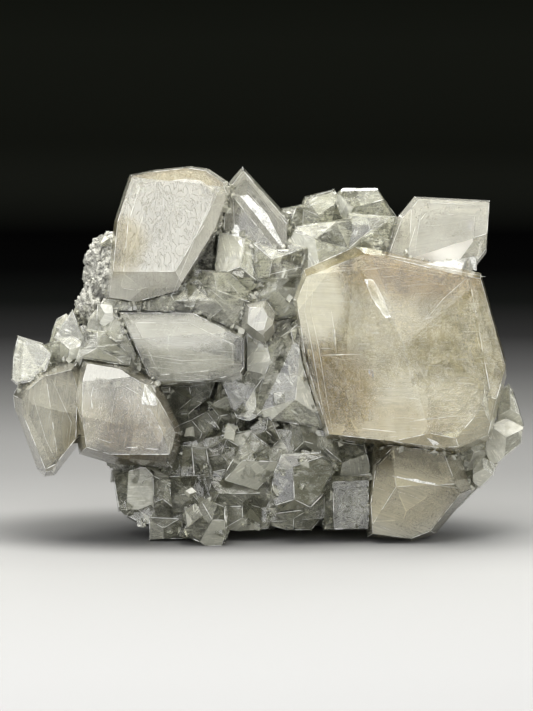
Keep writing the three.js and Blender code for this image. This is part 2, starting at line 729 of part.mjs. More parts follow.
const calcite = new THREE.MeshStandardMaterial({ color: 0xcfc8b4, roughness: 0.2, metalness: 0 });
const marcasite = new THREE.MeshStandardMaterial({ color: 0x77756e, roughness: 0.5, metalness: 0.6 });

const group = new THREE.Group();
fitted.forEach(([name, solid]) => {
  const mesh = new THREE.Mesh(geometryOf(solid), name === 'marcasite_matrix' ? marcasite : calcite);
  mesh.name = name;
  mesh.position.set(-centre[0], -centre[1], 0);
  group.add(mesh);
});

export default group;
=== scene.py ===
"""Looks of a free-standing specimen of calcite with marcasite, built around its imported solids.

Sizes are in millimetres and become metres where a mesh is made. Places on the specimen are given in its
display frame, which looks square at the best side: x to the right, v up the display face, w going back.
"""
import json
import logging
import math
import random
from dataclasses import dataclass, replace
from enum import Enum

import bmesh
import bpy
from mathutils import Euler, Matrix, Vector, noise
from mathutils.bvhtree import BVHTree


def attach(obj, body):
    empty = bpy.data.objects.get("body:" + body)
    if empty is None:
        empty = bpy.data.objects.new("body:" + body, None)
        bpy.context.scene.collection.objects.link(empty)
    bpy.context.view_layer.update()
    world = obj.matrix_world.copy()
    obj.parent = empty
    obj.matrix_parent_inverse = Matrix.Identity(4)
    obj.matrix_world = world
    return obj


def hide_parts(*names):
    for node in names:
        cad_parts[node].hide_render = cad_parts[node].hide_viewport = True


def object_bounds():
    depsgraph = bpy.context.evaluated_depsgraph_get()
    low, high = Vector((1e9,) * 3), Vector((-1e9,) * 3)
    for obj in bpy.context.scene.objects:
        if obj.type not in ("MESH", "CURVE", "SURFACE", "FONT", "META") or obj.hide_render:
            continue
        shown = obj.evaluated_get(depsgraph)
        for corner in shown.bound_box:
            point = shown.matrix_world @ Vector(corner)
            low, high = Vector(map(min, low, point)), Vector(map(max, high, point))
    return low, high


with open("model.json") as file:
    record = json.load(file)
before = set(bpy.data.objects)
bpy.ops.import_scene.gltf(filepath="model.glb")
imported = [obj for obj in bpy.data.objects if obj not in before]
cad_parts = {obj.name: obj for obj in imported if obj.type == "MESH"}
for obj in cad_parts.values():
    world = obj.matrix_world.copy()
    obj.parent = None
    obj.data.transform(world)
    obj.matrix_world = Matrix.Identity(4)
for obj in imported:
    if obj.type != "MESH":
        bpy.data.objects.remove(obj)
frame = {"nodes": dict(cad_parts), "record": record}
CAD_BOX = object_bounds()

logging.basicConfig(level=logging.INFO, format="%(message)s")
log = logging.getLogger("calcite")

MM = 0.001
TIP_BACK = 6.0  # degrees that the display face leans back, as in the solids
FOOTPRINT_SHIFT = (-0.065, -4.469)  # from the display frame's x and depth to the middle of the footprint
IN_FRONT = -90.0  # the depth w from which the display side is looked at, in front of every crystal
WELD = 0.002 * MM  # corners nearer than this are one corner
MIDDLE = 0.5  # of every noise and chance
BODY = "root"

Colour = tuple[float, float, float, float]
Triple = tuple[float, float, float]
Seen = tuple[Vector, float, str]  # a place that shows, how far away it is, and its node
Socket = bpy.types.NodeSocket
Value = Socket | float


# ----------------------------------------------------------------------------------------------------
# Frames, colours and nodes


def placed(x: float, v: float, w: float) -> Vector:
    """Turn a place in the display frame into one in the row frame.

    Args:
        x: Millimetres to the right along the display face.
        v: Millimetres up the display face.
        w: Millimetres back into the specimen.

    Returns:
        The place in metres.
    """
    lean = math.radians(TIP_BACK)
    y = w * math.cos(lean) + v * math.sin(lean)
    z = v * math.cos(lean) - w * math.sin(lean)
    return Vector((x + FOOTPRINT_SHIFT[0], y + FOOTPRINT_SHIFT[1], z)) * MM


def turned(x: float, v: float, w: float) -> Vector:
    """Turn a direction in the display frame into one in the row frame."""
    return (placed(x, v, w) - placed(0, 0, 0)).normalized()


def shown_at(place: Vector) -> tuple[float, float]:
    """Turn a place in the row frame into x and v of the display frame.

    Args:
        place: The place in metres.

    Returns:
        Millimetres to the right and up the display face.
    """
    lean = math.radians(TIP_BACK)
    away = place / MM - placed(0, 0, 0) / MM
    return away.x, away.y * math.sin(lean) + away.z * math.cos(lean)


def linear(colour: str) -> Colour:
    """Turn an sRGB hex colour into linear light.

    Args:
        colour: Six hex digits, such as "d8d2c0".

    Returns:
        Red, green, blue and an alpha of one.
    """
    parts = [int(colour[i : i + 2], 16) / 255 for i in (0, 2, 4)]
    light = [c / 12.92 if c <= 0.04045 else ((c + 0.055) / 1.055) ** 2.4 for c in parts]
    return (light[0], light[1], light[2], 1.0)


def per_mm(mm: float) -> float:
    """The scale, in turns per metre, of a pattern that repeats every so many millimetres."""
    return 1 / (mm * MM)


def add_node(tree: bpy.types.NodeTree, kind: str, links: dict | None = None,
             **settings: object) -> bpy.types.Node:
    """Add a shader node with its settings, values and links.

    Args:
        tree: The node tree that it goes in.
        kind: The node's type name without "ShaderNode".
        links: Input name or number to a value, or to the output socket that feeds it.
        **settings: Attributes of the node.

    Returns:
        The new node.
    """
    node = tree.nodes.new("ShaderNode" + kind)
    for name, value in settings.items():
        setattr(node, name, value)
    for name, value in (links or {}).items():
        if isinstance(value, Socket):
            tree.links.new(value, node.inputs[name])
        else:
            node.inputs[name].default_value = value
    return node


class Recipe:
    """A material being written, with the patterns that several finishes share."""

    def __init__(self, name: str) -> None:
        """Start an empty node material.

        Args:
            name: The material's name.
        """
        self.material = bpy.data.materials.new(name)
        self.material.use_nodes = True
        self.tree = self.material.node_tree
        self.tree.nodes.clear()
        self.place = self.add("TexCoord", output="Object")

    def add(self, kind: str, links: dict | None = None, output: int | str = 0, **settings: object) -> Socket:
        """Add a node as add_node does, and give the output of it that is asked for."""
        return add_node(self.tree, kind, links, **settings).outputs[output]

    def total(self, start: Value, *terms: tuple[Value, float]) -> Socket:
        """Add values to a start, each times a factor.

        Args:
            start: What the sum starts from.
            *terms: Each value with its factor.

        Returns:
            The sum.
        """
        for value, factor in terms:
            start = self.add("Math", {0: value, 1: factor, 2: start}, operation="MULTIPLY_ADD")
        return start

    def squeezed(self, turn: Triple, widths: Triple) -> Socket:
        """Coordinates that are turned and then counted in units of their own along each axis.

        Args:
            turn: Degrees about each axis.
            widths: Millimetres of one unit along each axis.

        Returns:
            The coordinates.
        """
        angles = tuple(math.radians(a) for a in turn)
        scale = tuple(per_mm(width) for width in widths)
        along = self.add(
            "VectorRotate", {"Vector": self.place, "Rotation": angles}, rotation_type="EULER_XYZ")
        return self.add("VectorMath", {0: along, 1: scale}, operation="MULTIPLY")

    def streaks(self, turn: Triple, widths: Triple, detail: float, roughness: float) -> Socket:
        """A noise from zero to one that is drawn out into streaks.

        Args:
            turn: Degrees about each axis.
            widths: Millimetres of one streak along each turned axis.
            detail: How many finer and finer steps it has.
            roughness: How strong each step is beside the one before.

        Returns:
            The noise.
        """
        place = self.squeezed(turn, widths)
        return self.add("TexNoise", {"Vector": place, "Scale": 1.0, "Detail": detail, "Roughness": roughness})

    def patches(self, mm: float, detail: float, roughness: float, low: float, high: float) -> Socket:
        """Soft-edged patches.

        Args:
            mm: About how wide they are.
            detail: How many finer and finer steps their noise has.
            roughness: How strong each step is beside the one before.
            low: The noise below which there is nothing.
            high: The noise above which a patch is whole.

        Returns:
            Zero between the patches and one inside them.
        """
        blots = self.add(
            "TexNoise", {"Vector": self.place, "Scale": per_mm(mm), "Detail": detail, "Roughness": roughness})
        return self.add(
            "MapRange", {"Value": blots, "From Min": low, "From Max": high}, interpolation_type="SMOOTHSTEP")

    def facet(self, seed: float = 0.0) -> Socket:
        """A chance that is the same over each flat facet, drawn from the way that the facet looks.

        Args:
            seed: Another seed gives other chances.

        Returns:
            The chance, from zero to one.
        """
        facing = self.add("NewGeometry", output="True Normal")
        coarse = (0.07, 0.07, 0.07)  # steps of the normal, coarse enough to be the same all over a facet
        snapped = self.add("VectorMath", {0: facing, 1: coarse}, operation="SNAP")
        moved = self.add("VectorMath", {0: snapped, 1: (seed, seed, seed)}, operation="ADD")
        return self.add("TexWhiteNoise", {"Vector": moved}, output="Value")

    def finish(self, surface: dict, volume: tuple[str, float] | None = None) -> bpy.types.Material:
        """End the material with its shader.

        Args:
            surface: The values and links of the shader.
            volume: The colour and the density of what the inside absorbs, or none.

        Returns:
            The material.
        """
        ends = {"Surface": self.add("BsdfPrincipled", surface)}
        if volume:
            ends["Volume"] = self.add("VolumeAbsorption", {"Color": linear(volume[0]), "Density": volume[1]})
        add_node(self.tree, "OutputMaterial", ends)
        return self.material


# ----------------------------------------------------------------------------------------------------
# Finishes


@dataclass(frozen=True)
class Zone:
    """A soft-edged part of a crystal: where its middle is in the display frame, and its reach."""

    x: float
    v: float
    reach: float
    strength: float = 1.0
    w: float = -30.0
    flat: float = 1.0  # how much further it reaches sideways than up
    deep: float = 2.0  # how much further it reaches back than up
    wandering: float = 0.9  # how far its border follows the noise, as a share of its reach
    border: tuple[float, float] = (1.85, 0.95)  # where it starts and where it is whole, in reaches

    def mask(self, recipe: Recipe, wander: Socket) -> Socket:
        """Its share at each place.

        Args:
            recipe: The material.
            wander: A noise around zero that its border follows.

        Returns:
            From zero outside to its strength inside.
        """
        reach = self.reach * MM
        scale = (1 / (reach * self.flat), 1 / (reach * self.deep), 1 / reach)
        middle = placed(self.x, self.v, self.w)
        away = recipe.add("VectorMath", {0: recipe.place, 1: middle}, operation="SUBTRACT")
        counted = recipe.add("VectorMath", {0: away, 1: scale}, operation="MULTIPLY")
        far = recipe.add("VectorMath", {0: counted}, output="Value", operation="LENGTH")
        start, whole = self.border
        return recipe.add(
            "MapRange",
            {"Value": recipe.total(far, (wander, self.wandering)), "From Min": start, "From Max": whole,
             "To Max": self.strength}, interpolation_type="SMOOTHSTEP")


@dataclass(frozen=True)
class CalciteFinish:
    """Natural calcite: clear inside, hazed by clouds, growth zones, healed cracks and its etched skin.

    Calcite bends light strongly, 1.66 and 1.49 along its two directions, which gives bright inner
    reflections; one value between them stands for both. Haze is where light scatters near the skin in
    place of going through. It gives the eye clouds, faint planes with straight borders, white threads
    and a fine grain, over the clear glassy look of the rest.
    """

    name: str
    clear_hex: str = "efeee4"
    haze_hex: str = "d2cfc0"
    amber_hex: str = "baa54c"
    haze: float = 0.3  # the mean share of light that scatters
    least_haze: float = 0.02
    most_haze: float = 0.96
    cloud: float = 0.08
    cloud_mm: float = 12.0
    facet: float = 0.14  # how much whole facets differ
    frosted: float = 0.0  # the share of the facets that are etched white
    frost: float = 0.4  # and how much haze that adds
    plane: float = 0.08  # how much growth zones differ
    plane_mm: Triple = (13.0, 30.0, 20.0)
    plane_turn: Triple = (8.0, 14.0, 5.0)  # degrees from the lines to the planes
    thread: float = 0.22  # how white the threads along healed cracks are
    thread_width: tuple[float, float] = (0.008, 0.002)  # from its faint border to its white middle, in planes
    grain: float = 0.2
    grain_mm: float = 0.35
    grain_relief: float = 0.15
    line: float = 0.16
    line_mm: Triple = (7.0, 7.0, 0.3)
    line_turn: Triple = (0.0, 0.0, 0.0)
    line_relief: float = 0.45
    scratch: float = 0.0  # how white the striae are that turn from facet to facet
    scratch_mm: Triple = (4.0, 4.0, 0.22)
    scratch_axis: Triple = (0.3, 0.9, 0.2)
    amber: float = 0.6
    amber_zones: tuple[Zone, ...] = ()
    # Zones of more haze: milky clouds, and on some facets that face down, painted light.
    milky_and_painted_light_zones: tuple[Zone, ...] = ()
    maze_zones: tuple[Zone, ...] = ()
    maze_mm: Triple = (2.4, 4.0, 4.4)
    maze_folds: float = 9.0  # how many lines lie side by side in one blot of its noise
    maze_line: float = 0.1  # how wide a line is, as a share of the way to the next
    maze_clear: float = -0.09  # how much haze a line takes away
    maze_groove: float = -1.3  # how deep it is cut, in units of the relief
    ior: float = 1.58
    polish: float = 0.02  # the roughness of the clearest facets
    etching: float = 0.06  # and how much more the dullest have
    haze_roughness: float = 0.1
    relief_mm: float = 0.05
    wave: float = 1.5  # how much of its relief is broad waves, from growth and etching
    wave_mm: float = 3.0
    inside_hex: str = "d3ce9c"
    inside: float = 7.0  # how strongly the inside takes light away

    def widest(self, recipe: Recipe, zones: tuple[Zone, ...], wander: Socket) -> Value:
        """The largest share that any of some zones has at each place.

        Args:
            recipe: The material.
            zones: The zones.
            wander: A noise around zero that their borders follow.

        Returns:
            The share.
        """
        share: Value = 0.0
        for zone in zones:
            share = recipe.add("Math", {0: share, 1: zone.mask(recipe, wander)}, operation="MAXIMUM")
        return share

    def striae(self, recipe: Recipe) -> Socket:
        """Where the fine white striae and chips are, which run another way on every facet.

        Args:
            recipe: The material.

        Returns:
            Zero to one.
        """
        angle = recipe.add("Math", {0: recipe.facet(7.0), 1: math.pi}, operation="MULTIPLY")
        along = recipe.add(
            "VectorRotate", {"Vector": recipe.place, "Axis": self.scratch_axis, "Angle": angle},
            rotation_type="AXIS_ANGLE")
        scale = tuple(per_mm(width) for width in self.scratch_mm)
        place = recipe.add("VectorMath", {0: along, 1: scale}, operation="MULTIPLY")
        fine = recipe.add("TexNoise", {"Vector": place, "Scale": 1.0, "Detail": 2.0, "Roughness": 0.5})
        fine = recipe.add("MapRange", {"Value": fine, "From Min": 0.54, "From Max": 0.68})
        bruised = recipe.patches(2.2, 3.0, 0.6, 0.42, 0.6)
        return recipe.add("Math", {0: fine, 1: bruised}, operation="MULTIPLY")

    def growth(self, recipe: Recipe) -> tuple[Socket, Socket]:
        """Growth zones with straight borders, and the threads of cracks that healed along some borders.

        Args:
            recipe: The material.

        Returns:
            A chance around zero for each growth zone, and from zero to one where a thread is.
        """
        turn = tuple(line + plane for line, plane in zip(self.line_turn, self.plane_turn))
        planes = recipe.squeezed(turn, self.plane_mm)
        tint = recipe.add("TexVoronoi", {"Vector": planes, "Scale": 1.0}, output="Color", feature="F1")
        tint = recipe.add("SeparateXYZ", {0: tint})
        border = recipe.add(
            "TexVoronoi", {"Vector": planes, "Scale": 1.0}, output="Distance", feature="DISTANCE_TO_EDGE")
        faint, white = self.thread_width
        thread = recipe.add("MapRange", {"Value": border, "From Min": faint, "From Max": white})
        broken = recipe.patches(6.0, 4.0, 0.7, 0.48, 0.6)
        return (recipe.add("Math", {0: tint, 1: MIDDLE}, operation="SUBTRACT"),
                recipe.add("Math", {0: thread, 1: broken}, operation="MULTIPLY"))

    def maze(self, recipe: Recipe, wander: Socket) -> Socket:
        """The winding etched lines of a dissolved face.

        Args:
            recipe: The material.
            wander: A noise around zero that the border of their zone follows.

        Returns:
            One in the middle of a line and zero beside it.
        """
        folds = recipe.streaks((0, 4, 0), self.maze_mm, 2.0, 0.5)
        folds = recipe.add("Math", {0: folds, 1: self.maze_folds}, operation="MULTIPLY")
        folds = recipe.add("Math", {0: folds, 1: MIDDLE}, operation="PINGPONG")
        line = recipe.add(
            "MapRange", {"Value": folds, "From Min": self.maze_line, "From Max": 0.0},
            interpolation_type="SMOOTHSTEP")
        zone = self.widest(recipe, self.maze_zones, wander)
        return recipe.add("Math", {0: line, 1: zone}, operation="MULTIPLY")

    def body(self, recipe: Recipe, haze: Socket, wander: Socket) -> Socket:
        """The colour of the calcite, clear or hazed, with its amber zones.

        Args:
            recipe: The material.
            haze: The share of light that scatters.
            wander: A noise around zero that the borders of the zones follow.

        Returns:
            The colour.
        """
        colour = recipe.add(
            "Mix", {0: haze, 6: linear(self.clear_hex), 7: linear(self.haze_hex)}, output=2, data_type="RGBA")
        if not self.amber_zones:
            return colour
        zone = self.widest(recipe, self.amber_zones, wander)
        amber = recipe.add("Math", {0: zone, 1: self.amber}, operation="MULTIPLY")
        return recipe.add("Mix", {0: amber, 6: colour, 7: linear(self.amber_hex)}, output=2, data_type="RGBA")

    def material(self) -> bpy.types.Material:
        """Build the material.

        Returns:
            The material.
        """
        r = Recipe(self.name)
        clouds = r.add(
            "TexNoise", {"Vector": r.place, "Scale": per_mm(self.cloud_mm), "Detail": 5.0, "Roughness": 0.58})
        wander = r.add("Math", {0: clouds, 1: MIDDLE}, operation="SUBTRACT")
        spread = r.add(
            "MapRange", {"Value": clouds, "From Min": 0.3, "From Max": 0.7, "To Min": -1.0, "To Max": 1.0})
        dull = r.patches(self.cloud_mm * 0.45, 3.0, 0.55, 0.42, 0.62)
        grain = r.add(
            "TexNoise", {"Vector": r.place, "Scale": per_mm(self.grain_mm), "Detail": 6.0, "Roughness": 0.75})
        grain = r.add("Math", {0: grain, 1: MIDDLE}, operation="SUBTRACT")
        grain = r.add("Math", {0: grain, 1: dull}, operation="MULTIPLY")
        lines = r.streaks(self.line_turn, self.line_mm, 4.0, 0.65)
        lines = r.add("Math", {0: lines, 1: MIDDLE}, operation="SUBTRACT")
        bare = r.add("Math", {0: 1.2, 1: dull}, operation="SUBTRACT")  # lines show most where it isn't dull
        facet = r.facet()
        growth, thread = self.growth(r)

        # Noises and chances stay near their middle, so their shares are counted two to four times.
        haze = r.total(
            self.haze, (spread, self.cloud), (grain, self.grain * 4),
            (r.add("Math", {0: lines, 1: bare}, operation="MULTIPLY"), self.line * 3),
            (r.add("Math", {0: facet, 1: MIDDLE}, operation="SUBTRACT"), self.facet * 2),
            (growth, self.plane * 2))
        if self.frosted:
            white = r.add(
                "MapRange",
                {"Value": r.facet(3.0), "From Min": 1 - self.frosted, "From Max": 1.02 - self.frosted})
            haze = r.total(haze, (white, self.frost))
        haze = r.total(haze, (thread, self.thread))
        if self.scratch:
            haze = r.total(haze, (self.striae(r), self.scratch))
        if self.milky_and_painted_light_zones:
            haze = r.total(haze, (self.widest(r, self.milky_and_painted_light_zones, wander), 1.0))
        waves = r.add(
            "TexNoise", {"Vector": r.place, "Scale": per_mm(self.wave_mm), "Detail": 2.0, "Roughness": 0.5})
        height = r.add("Math", {0: lines, 1: self.line_relief}, operation="MULTIPLY")
        height = r.total(height, (grain, self.grain_relief), (waves, self.wave))
        if self.maze_zones:
            maze = self.maze(r, wander)
            haze = r.total(haze, (maze, self.maze_clear))
            height = r.total(height, (maze, self.maze_groove))
        haze = r.add("Math", {0: haze, 1: self.most_haze}, operation="MINIMUM")
        haze = r.add("Math", {0: haze, 1: self.least_haze}, operation="MAXIMUM")

        duller = r.add("MapRange", {"Value": facet, "From Min": 0.3, "From Max": 1.0})
        return r.finish(
            {"Base Color": self.body(r, haze, wander), "IOR": self.ior,
             "Roughness": r.total(self.polish, (duller, self.etching), (haze, self.haze_roughness)),
             "Transmission Weight": r.add("Math", {0: 1.0, 1: haze}, operation="SUBTRACT"),
             "Normal": r.add("Bump", {"Height": height, "Strength": 1.0, "Distance": self.relief_mm * MM})},
            (self.inside_hex, self.inside))


@dataclass(frozen=True)
class WornEdgeAndHighlightFinish:
    """The bruised rim of a calcite face: a thin white line, partly fine chipping and partly a painted
    highlight.
    """

    name: str = "bruised_calcite_edge"
    # white: partly chipped calcite, partly a painted highlight
    hex: str = "fdfdfa"
    roughness: float = 0.3
    ior: float = 1.58
    patch_mm: float = 2.4
    most_clear: float = 0.7
    least_clear: float = 0.0

    def material(self) -> bpy.types.Material:
        """Build the material.

        Returns:
            The material.
        """
        r = Recipe(self.name)
        chipped = r.add(
            "TexNoise", {"Vector": r.place, "Scale": per_mm(self.patch_mm), "Detail": 4.0, "Roughness": 0.7})
        clear = r.add(
            "MapRange",
            {"Value": chipped, "From Min": 0.4, "From Max": 0.6, "To Min": self.most_clear,
             "To Max": self.least_clear})
        return r.finish(
            {"Base Color": linear(self.hex), "Roughness": self.roughness, "IOR": self.ior,
             "Transmission Weight": clear})


@dataclass(frozen=True)
class MarcasiteFinish:
    """Marcasite: a grey sulphide with a metallic shine, brassy where it is fresh and dull where it is not.

    It gives the eye sparkling pale grains over hollows that are darkened as painted shade.
    """

    name: str
    dark_hex: str = "2c2b26"
    light_hex: str = "e2e1d6"
    metallic: float = 0.3
    roughness: float = 0.34
    grain_mm: float = 0.5
    relief_mm: float = 0.25
    facet: float = 0.35  # how much the small faces differ

    def material(self) -> bpy.types.Material:
        """Build the material.

        Returns:
            The material.
        """
        r = Recipe(self.name)
        grain = r.add(
            "TexNoise", {"Vector": r.place, "Scale": per_mm(self.grain_mm), "Detail": 5.0, "Roughness": 0.75})
        tone = r.add("Math", {0: r.facet(), 1: self.facet}, operation="MULTIPLY")
        tone = r.add("MapRange", {"Value": r.total(tone, (grain, 1.0)), "From Min": 0.35, "From Max": 0.9})
        # Painted shade: the colour goes dark where the surface is hollow, by its pointiness.
        edge = r.add("NewGeometry", output="Pointiness")
        painted_hollow_shade = r.add("MapRange", {"Value": edge, "From Min": 0.42, "From Max": 0.52})
        tone = r.add("Math", {0: tone, 1: painted_hollow_shade}, operation="MULTIPLY")
        colour = r.add(
            "Mix", {0: tone, 6: linear(self.dark_hex), 7: linear(self.light_hex)}, output=2, data_type="RGBA")
        return r.finish(
            {"Base Color": colour, "Roughness": self.roughness, "Metallic": self.metallic,
             "Normal": r.add("Bump", {"Height": grain, "Strength": 1.0, "Distance": self.relief_mm * MM})})


@dataclass(frozen=True)
class InnerFilmFinish:
    """A film inside a crystal: fluid inclusions, iron stain or air along a healed crack or an old face.

    It hides what is behind it in patches and lets the rest through, so that the crystal has depth.
    """

    name: str
    hex: str
    cover: float
    least_cover: float = 0.0
    patch_mm: float = 5.0
    fleck_mm: float = 0.35
    flecked: float = 0.5
    sheen: float = 0.0  # how much of it mirrors, as air in a crack does
    roughness: float = 0.4
    film_nm: float = 0.0  # thickness of a film thin enough to show colours
    film_ior: float = 1.33  # of the water in it
    streak_mm: Triple = (5.0, 5.0, 0.5)
    streak_turn: Triple = (0.0, 0.0, 0.0)
    streaked: float = 0.0
    facet: float = 0.0  # how much the faces of a closed film differ
    shade_hex: str = ""  # the colour of its thinner parts, where that differs
    stains: tuple[Zone, ...] = ()
    stain_hex: str = "a08c50"

    def density(self, recipe: Recipe) -> Socket:
        """How thick the film is at each place.

        Args:
            recipe: The material.

        Returns:
            About zero to one.
        """
        patches = recipe.add(
            "TexNoise",
            {"Vector": recipe.place, "Scale": per_mm(self.patch_mm), "Detail": 5.0, "Roughness": 0.6})
        flecks = recipe.add(
            "TexNoise",
            {"Vector": recipe.place, "Scale": per_mm(self.fleck_mm), "Detail": 3.0, "Roughness": 0.7})
        density = recipe.add("Math", {0: patches, 1: 1 - self.flecked}, operation="MULTIPLY")
        density = recipe.total(density, (flecks, self.flecked))
        if self.streaked:
            streaks = recipe.streaks(self.streak_turn, self.streak_mm, 4.0, 0.65)
            streaks = recipe.add("Math", {0: streaks, 1: MIDDLE}, operation="SUBTRACT")
            density = recipe.total(density, (streaks, self.streaked))
        if self.facet:
            facet = recipe.add("Math", {0: recipe.facet(5.0), 1: MIDDLE}, operation="SUBTRACT")
            density = recipe.total(density, (facet, self.facet))
        return density

    def colour(self, recipe: Recipe, density: Socket) -> Socket | Colour:
        """The film's colour, with its thinner parts and its stains.

        Args:
            recipe: The material.
            density: How thick the film is.

        Returns:
            The colour.
        """
        colour: Socket | Colour = linear(self.hex)
        if self.shade_hex:
            thick = recipe.add("MapRange", {"Value": density, "From Min": 0.36, "From Max": 0.62})
            colour = recipe.add(
                "Mix", {0: thick, 6: linear(self.shade_hex), 7: colour}, output=2, data_type="RGBA")
        if self.stains:
            wander = recipe.add(
                "TexNoise", {"Vector": recipe.place, "Scale": per_mm(9.0), "Detail": 5.0, "Roughness": 0.6})
            wander = recipe.add("Math", {0: wander, 1: MIDDLE}, operation="SUBTRACT")
        for zone in self.stains:
            colour = recipe.add(
                "Mix", {0: zone.mask(recipe, wander), 6: colour, 7: linear(self.stain_hex)}, output=2,
                data_type="RGBA")
        return colour

    def material(self) -> bpy.types.Material:
        """Build the material.

        Returns:
            The material.
        """
        r = Recipe(self.name)
        density = self.density(r)
        cover = r.add(
            "MapRange",
            {"Value": density, "From Min": 0.4, "From Max": 0.6, "To Min": self.least_cover,
             "To Max": self.cover}, interpolation_type="SMOOTHSTEP")
        values = {"Base Color": self.colour(r, density), "Roughness": self.roughness, "Metallic": self.sheen,
                  "Alpha": cover}
        if self.film_nm:
            values |= {"Thin Film Thickness": self.film_nm, "Thin Film IOR": self.film_ior}
        return r.finish(values)


@dataclass(frozen=True)
class TableFinish:
    """A pale matt paper sheet with no gloss, darker further back as a painted falloff of the light into the
    dark behind the specimen, and darker under it as a painted shadow.
    """

    name: str = "pale_matt_sheet"
    painted_falloff_hexes: tuple[tuple[float, str], ...] = (  # millimetres back from the specimen, and the colour there, darker further back as painted falloff of the light
        (-260.0, "a5a5a5"), (-86.0, "a0a09f"), (122.0, "787877"), (198.0, "6e6e6d"), (276.0, "595958"),
        (359.0, "3e3e3e"), (445.0, "1e1e1e"), (537.0, "0a0b0a"), (634.0, "030303"), (735.0, "020202"),
        (1443.0, "2b2d27"),
    )
    painted_shadow_hex: str = "6a6a69"  # painted shadow under the specimen, darkest where it stands
    painted_shadow_scale: Triple = (13.0, 18.0, 0.0)  # one over its reach to the side and back, in metres
    painted_shadow_shift: Triple = (0.2, 0.0, 0.0)
    painted_shadow_border: tuple[float, float] = (0.45, 1.0)
    roughness: float = 0.9

    def material(self) -> bpy.types.Material:
        """Build the material.

        Returns:
            The material.
        """
        r = Recipe(self.name)
        start, end = self.painted_falloff_hexes[0][0], self.painted_falloff_hexes[-1][0]
        back = r.add("SeparateXYZ", {0: r.place}, output="Y")
        back = r.add("MapRange", {"Value": back, "From Min": start * MM, "From Max": end * MM})
        ramp = add_node(r.tree, "ValToRGB", {0: back})
        elements = ramp.color_ramp.elements
        for number, (at, colour) in enumerate(self.painted_falloff_hexes):
            place = (at - start) / (end - start)
            stop = elements[number] if number < 2 else elements.new(place)
            stop.position = place
            stop.color = linear(colour)
        # Painted shadow: the sheet is darker in a soft patch around where the specimen stands.
        across = r.add(
            "VectorMath", {0: r.place, 1: self.painted_shadow_scale, 2: self.painted_shadow_shift}, operation="MULTIPLY_ADD")
        far = r.add("VectorMath", {0: across}, output="Value", operation="LENGTH")
        inner, outer = self.painted_shadow_border
        away = r.add(
            "MapRange", {"Value": far, "From Min": inner, "From Max": outer}, interpolation_type="SMOOTHSTEP")
        colour = r.add(
            "Mix", {0: away, 6: linear(self.painted_shadow_hex), 7: ramp.outputs[0]}, output=2, data_type="RGBA")
        return r.finish({"Base Color": colour, "Roughness": self.roughness, "Specular IOR Level": 0.0})


# ----------------------------------------------------------------------------------------------------
# Shared building


class Habit(Enum):
    """The kinds of calcite on the specimen, by the record's material slot."""

    HONEY = "honey_calcite"
    PALE = "pale_calcite"
    GREY = "grey_calcite"


def all_nodes() -> list[str]:
    """The nodes of the record, in its order."""
    return [sub["node"] for sub in frame["record"]["subparts"]]


def slot_of(node: str) -> str:
    """The material slot of a node in the record."""
    return next(sub["material_slot"] for sub in frame["record"]["subparts"] if sub["node"] == node)


def shown_tree(names: list[str]) -> tuple[BVHTree, list[str]]:
    """Gather the faces of some nodes, in the row frame, for searches.

    Args:
        names: The nodes.

    Returns:
        The search tree, and the node of each face in it.
    """
    points: list[Vector] = []
    faces: list[tuple[int, ...]] = []
    owners: list[str] = []
    for name in names:
        mesh = frame["nodes"][name].data
        start = len(points)
        points += [vertex.co.copy() for vertex in mesh.vertices]
        faces += [tuple(start + i for i in polygon.vertices) for polygon in mesh.polygons]
        owners += [name] * len(mesh.polygons)
    return BVHTree.FromPolygons(points, faces), owners


def seen_depth(tree: BVHTree, x: float, v: float) -> float | None:
    """Look at a place on the display side.

    Args:
        tree: The faces that are looked at.
        x: Millimetres to the right.
        v: Millimetres up.

    Returns:
        The depth w of the surface that shows there, in millimetres, or None.
    """
    start = placed(x, v, IN_FRONT)
    hit = tree.ray_cast(start, turned(0, 0, 1))
    return None if hit[0] is None else (hit[0] - start).length / MM + IN_FRONT


def in_box(place: Vector, margin: float) -> bool:
    """Whether a place lies inside the solids' box by more than a margin, both in metres."""
    low, high = (Vector(corner) for corner in CAD_BOX)
    return all(low[k] + margin < place[k] < high[k] - margin for k in range(3))


def merged_faces(name: str, same_face: float) -> bmesh.types.BMesh:
    """The mesh of a node with its triangles joined into the flat faces that they belong to.

    Args:
        name: The node.
        same_face: Degrees within which triangles belong to one face.

    Returns:
        The mesh.
    """
    mesh = bmesh.new()
    mesh.from_mesh(frame["nodes"][name].data)
    bmesh.ops.remove_doubles(mesh, verts=mesh.verts, dist=WELD)
    bmesh.ops.dissolve_limit(mesh, angle_limit=math.radians(same_face), verts=mesh.verts, edges=mesh.edges)
    return mesh


def add_piece(name: str, mesh: bmesh.types.BMesh, materials: list[bpy.types.Material],
              replaced: tuple[str, ...] = ()) -> bpy.types.Object:
    """Turn a mesh into a piece of the specimen.

    Args:
        name: The piece's name.
        mesh: Its mesh, which is freed.
        materials: Its materials, in the order of their numbers.
        replaced: The nodes that it stands for.

    Returns:
        The piece.
    """
    data = bpy.data.meshes.new(name)
    mesh.to_mesh(data)
    mesh.free()
    for material in materials:
        data.materials.append(material)
    piece = bpy.data.objects.new(name, data)
    bpy.context.scene.collection.objects.link(piece)
    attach(piece, BODY)
    for node in replaced:
        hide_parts(node)
    log.info("%s: %d faces", name, len(data.polygons))
    return piece


def wear(piece: bpy.types.Object, width: float, edge_material: int) -> None:
    """Round the sharp edges of a piece.

    Args:
        piece: The piece.
        width: Millimetres.
        edge_material: The number of the material of the rounded strips.
    """
    bevel = piece.modifiers.new("worn_edges", "BEVEL")
    bevel.width = width * MM
    bevel.segments = 1
    bevel.limit_method = "ANGLE"
    bevel.angle_limit = math.radians(11)  # flatter edges are only steps of one face
    bevel.material = edge_material


# ----------------------------------------------------------------------------------------------------
# Crystals


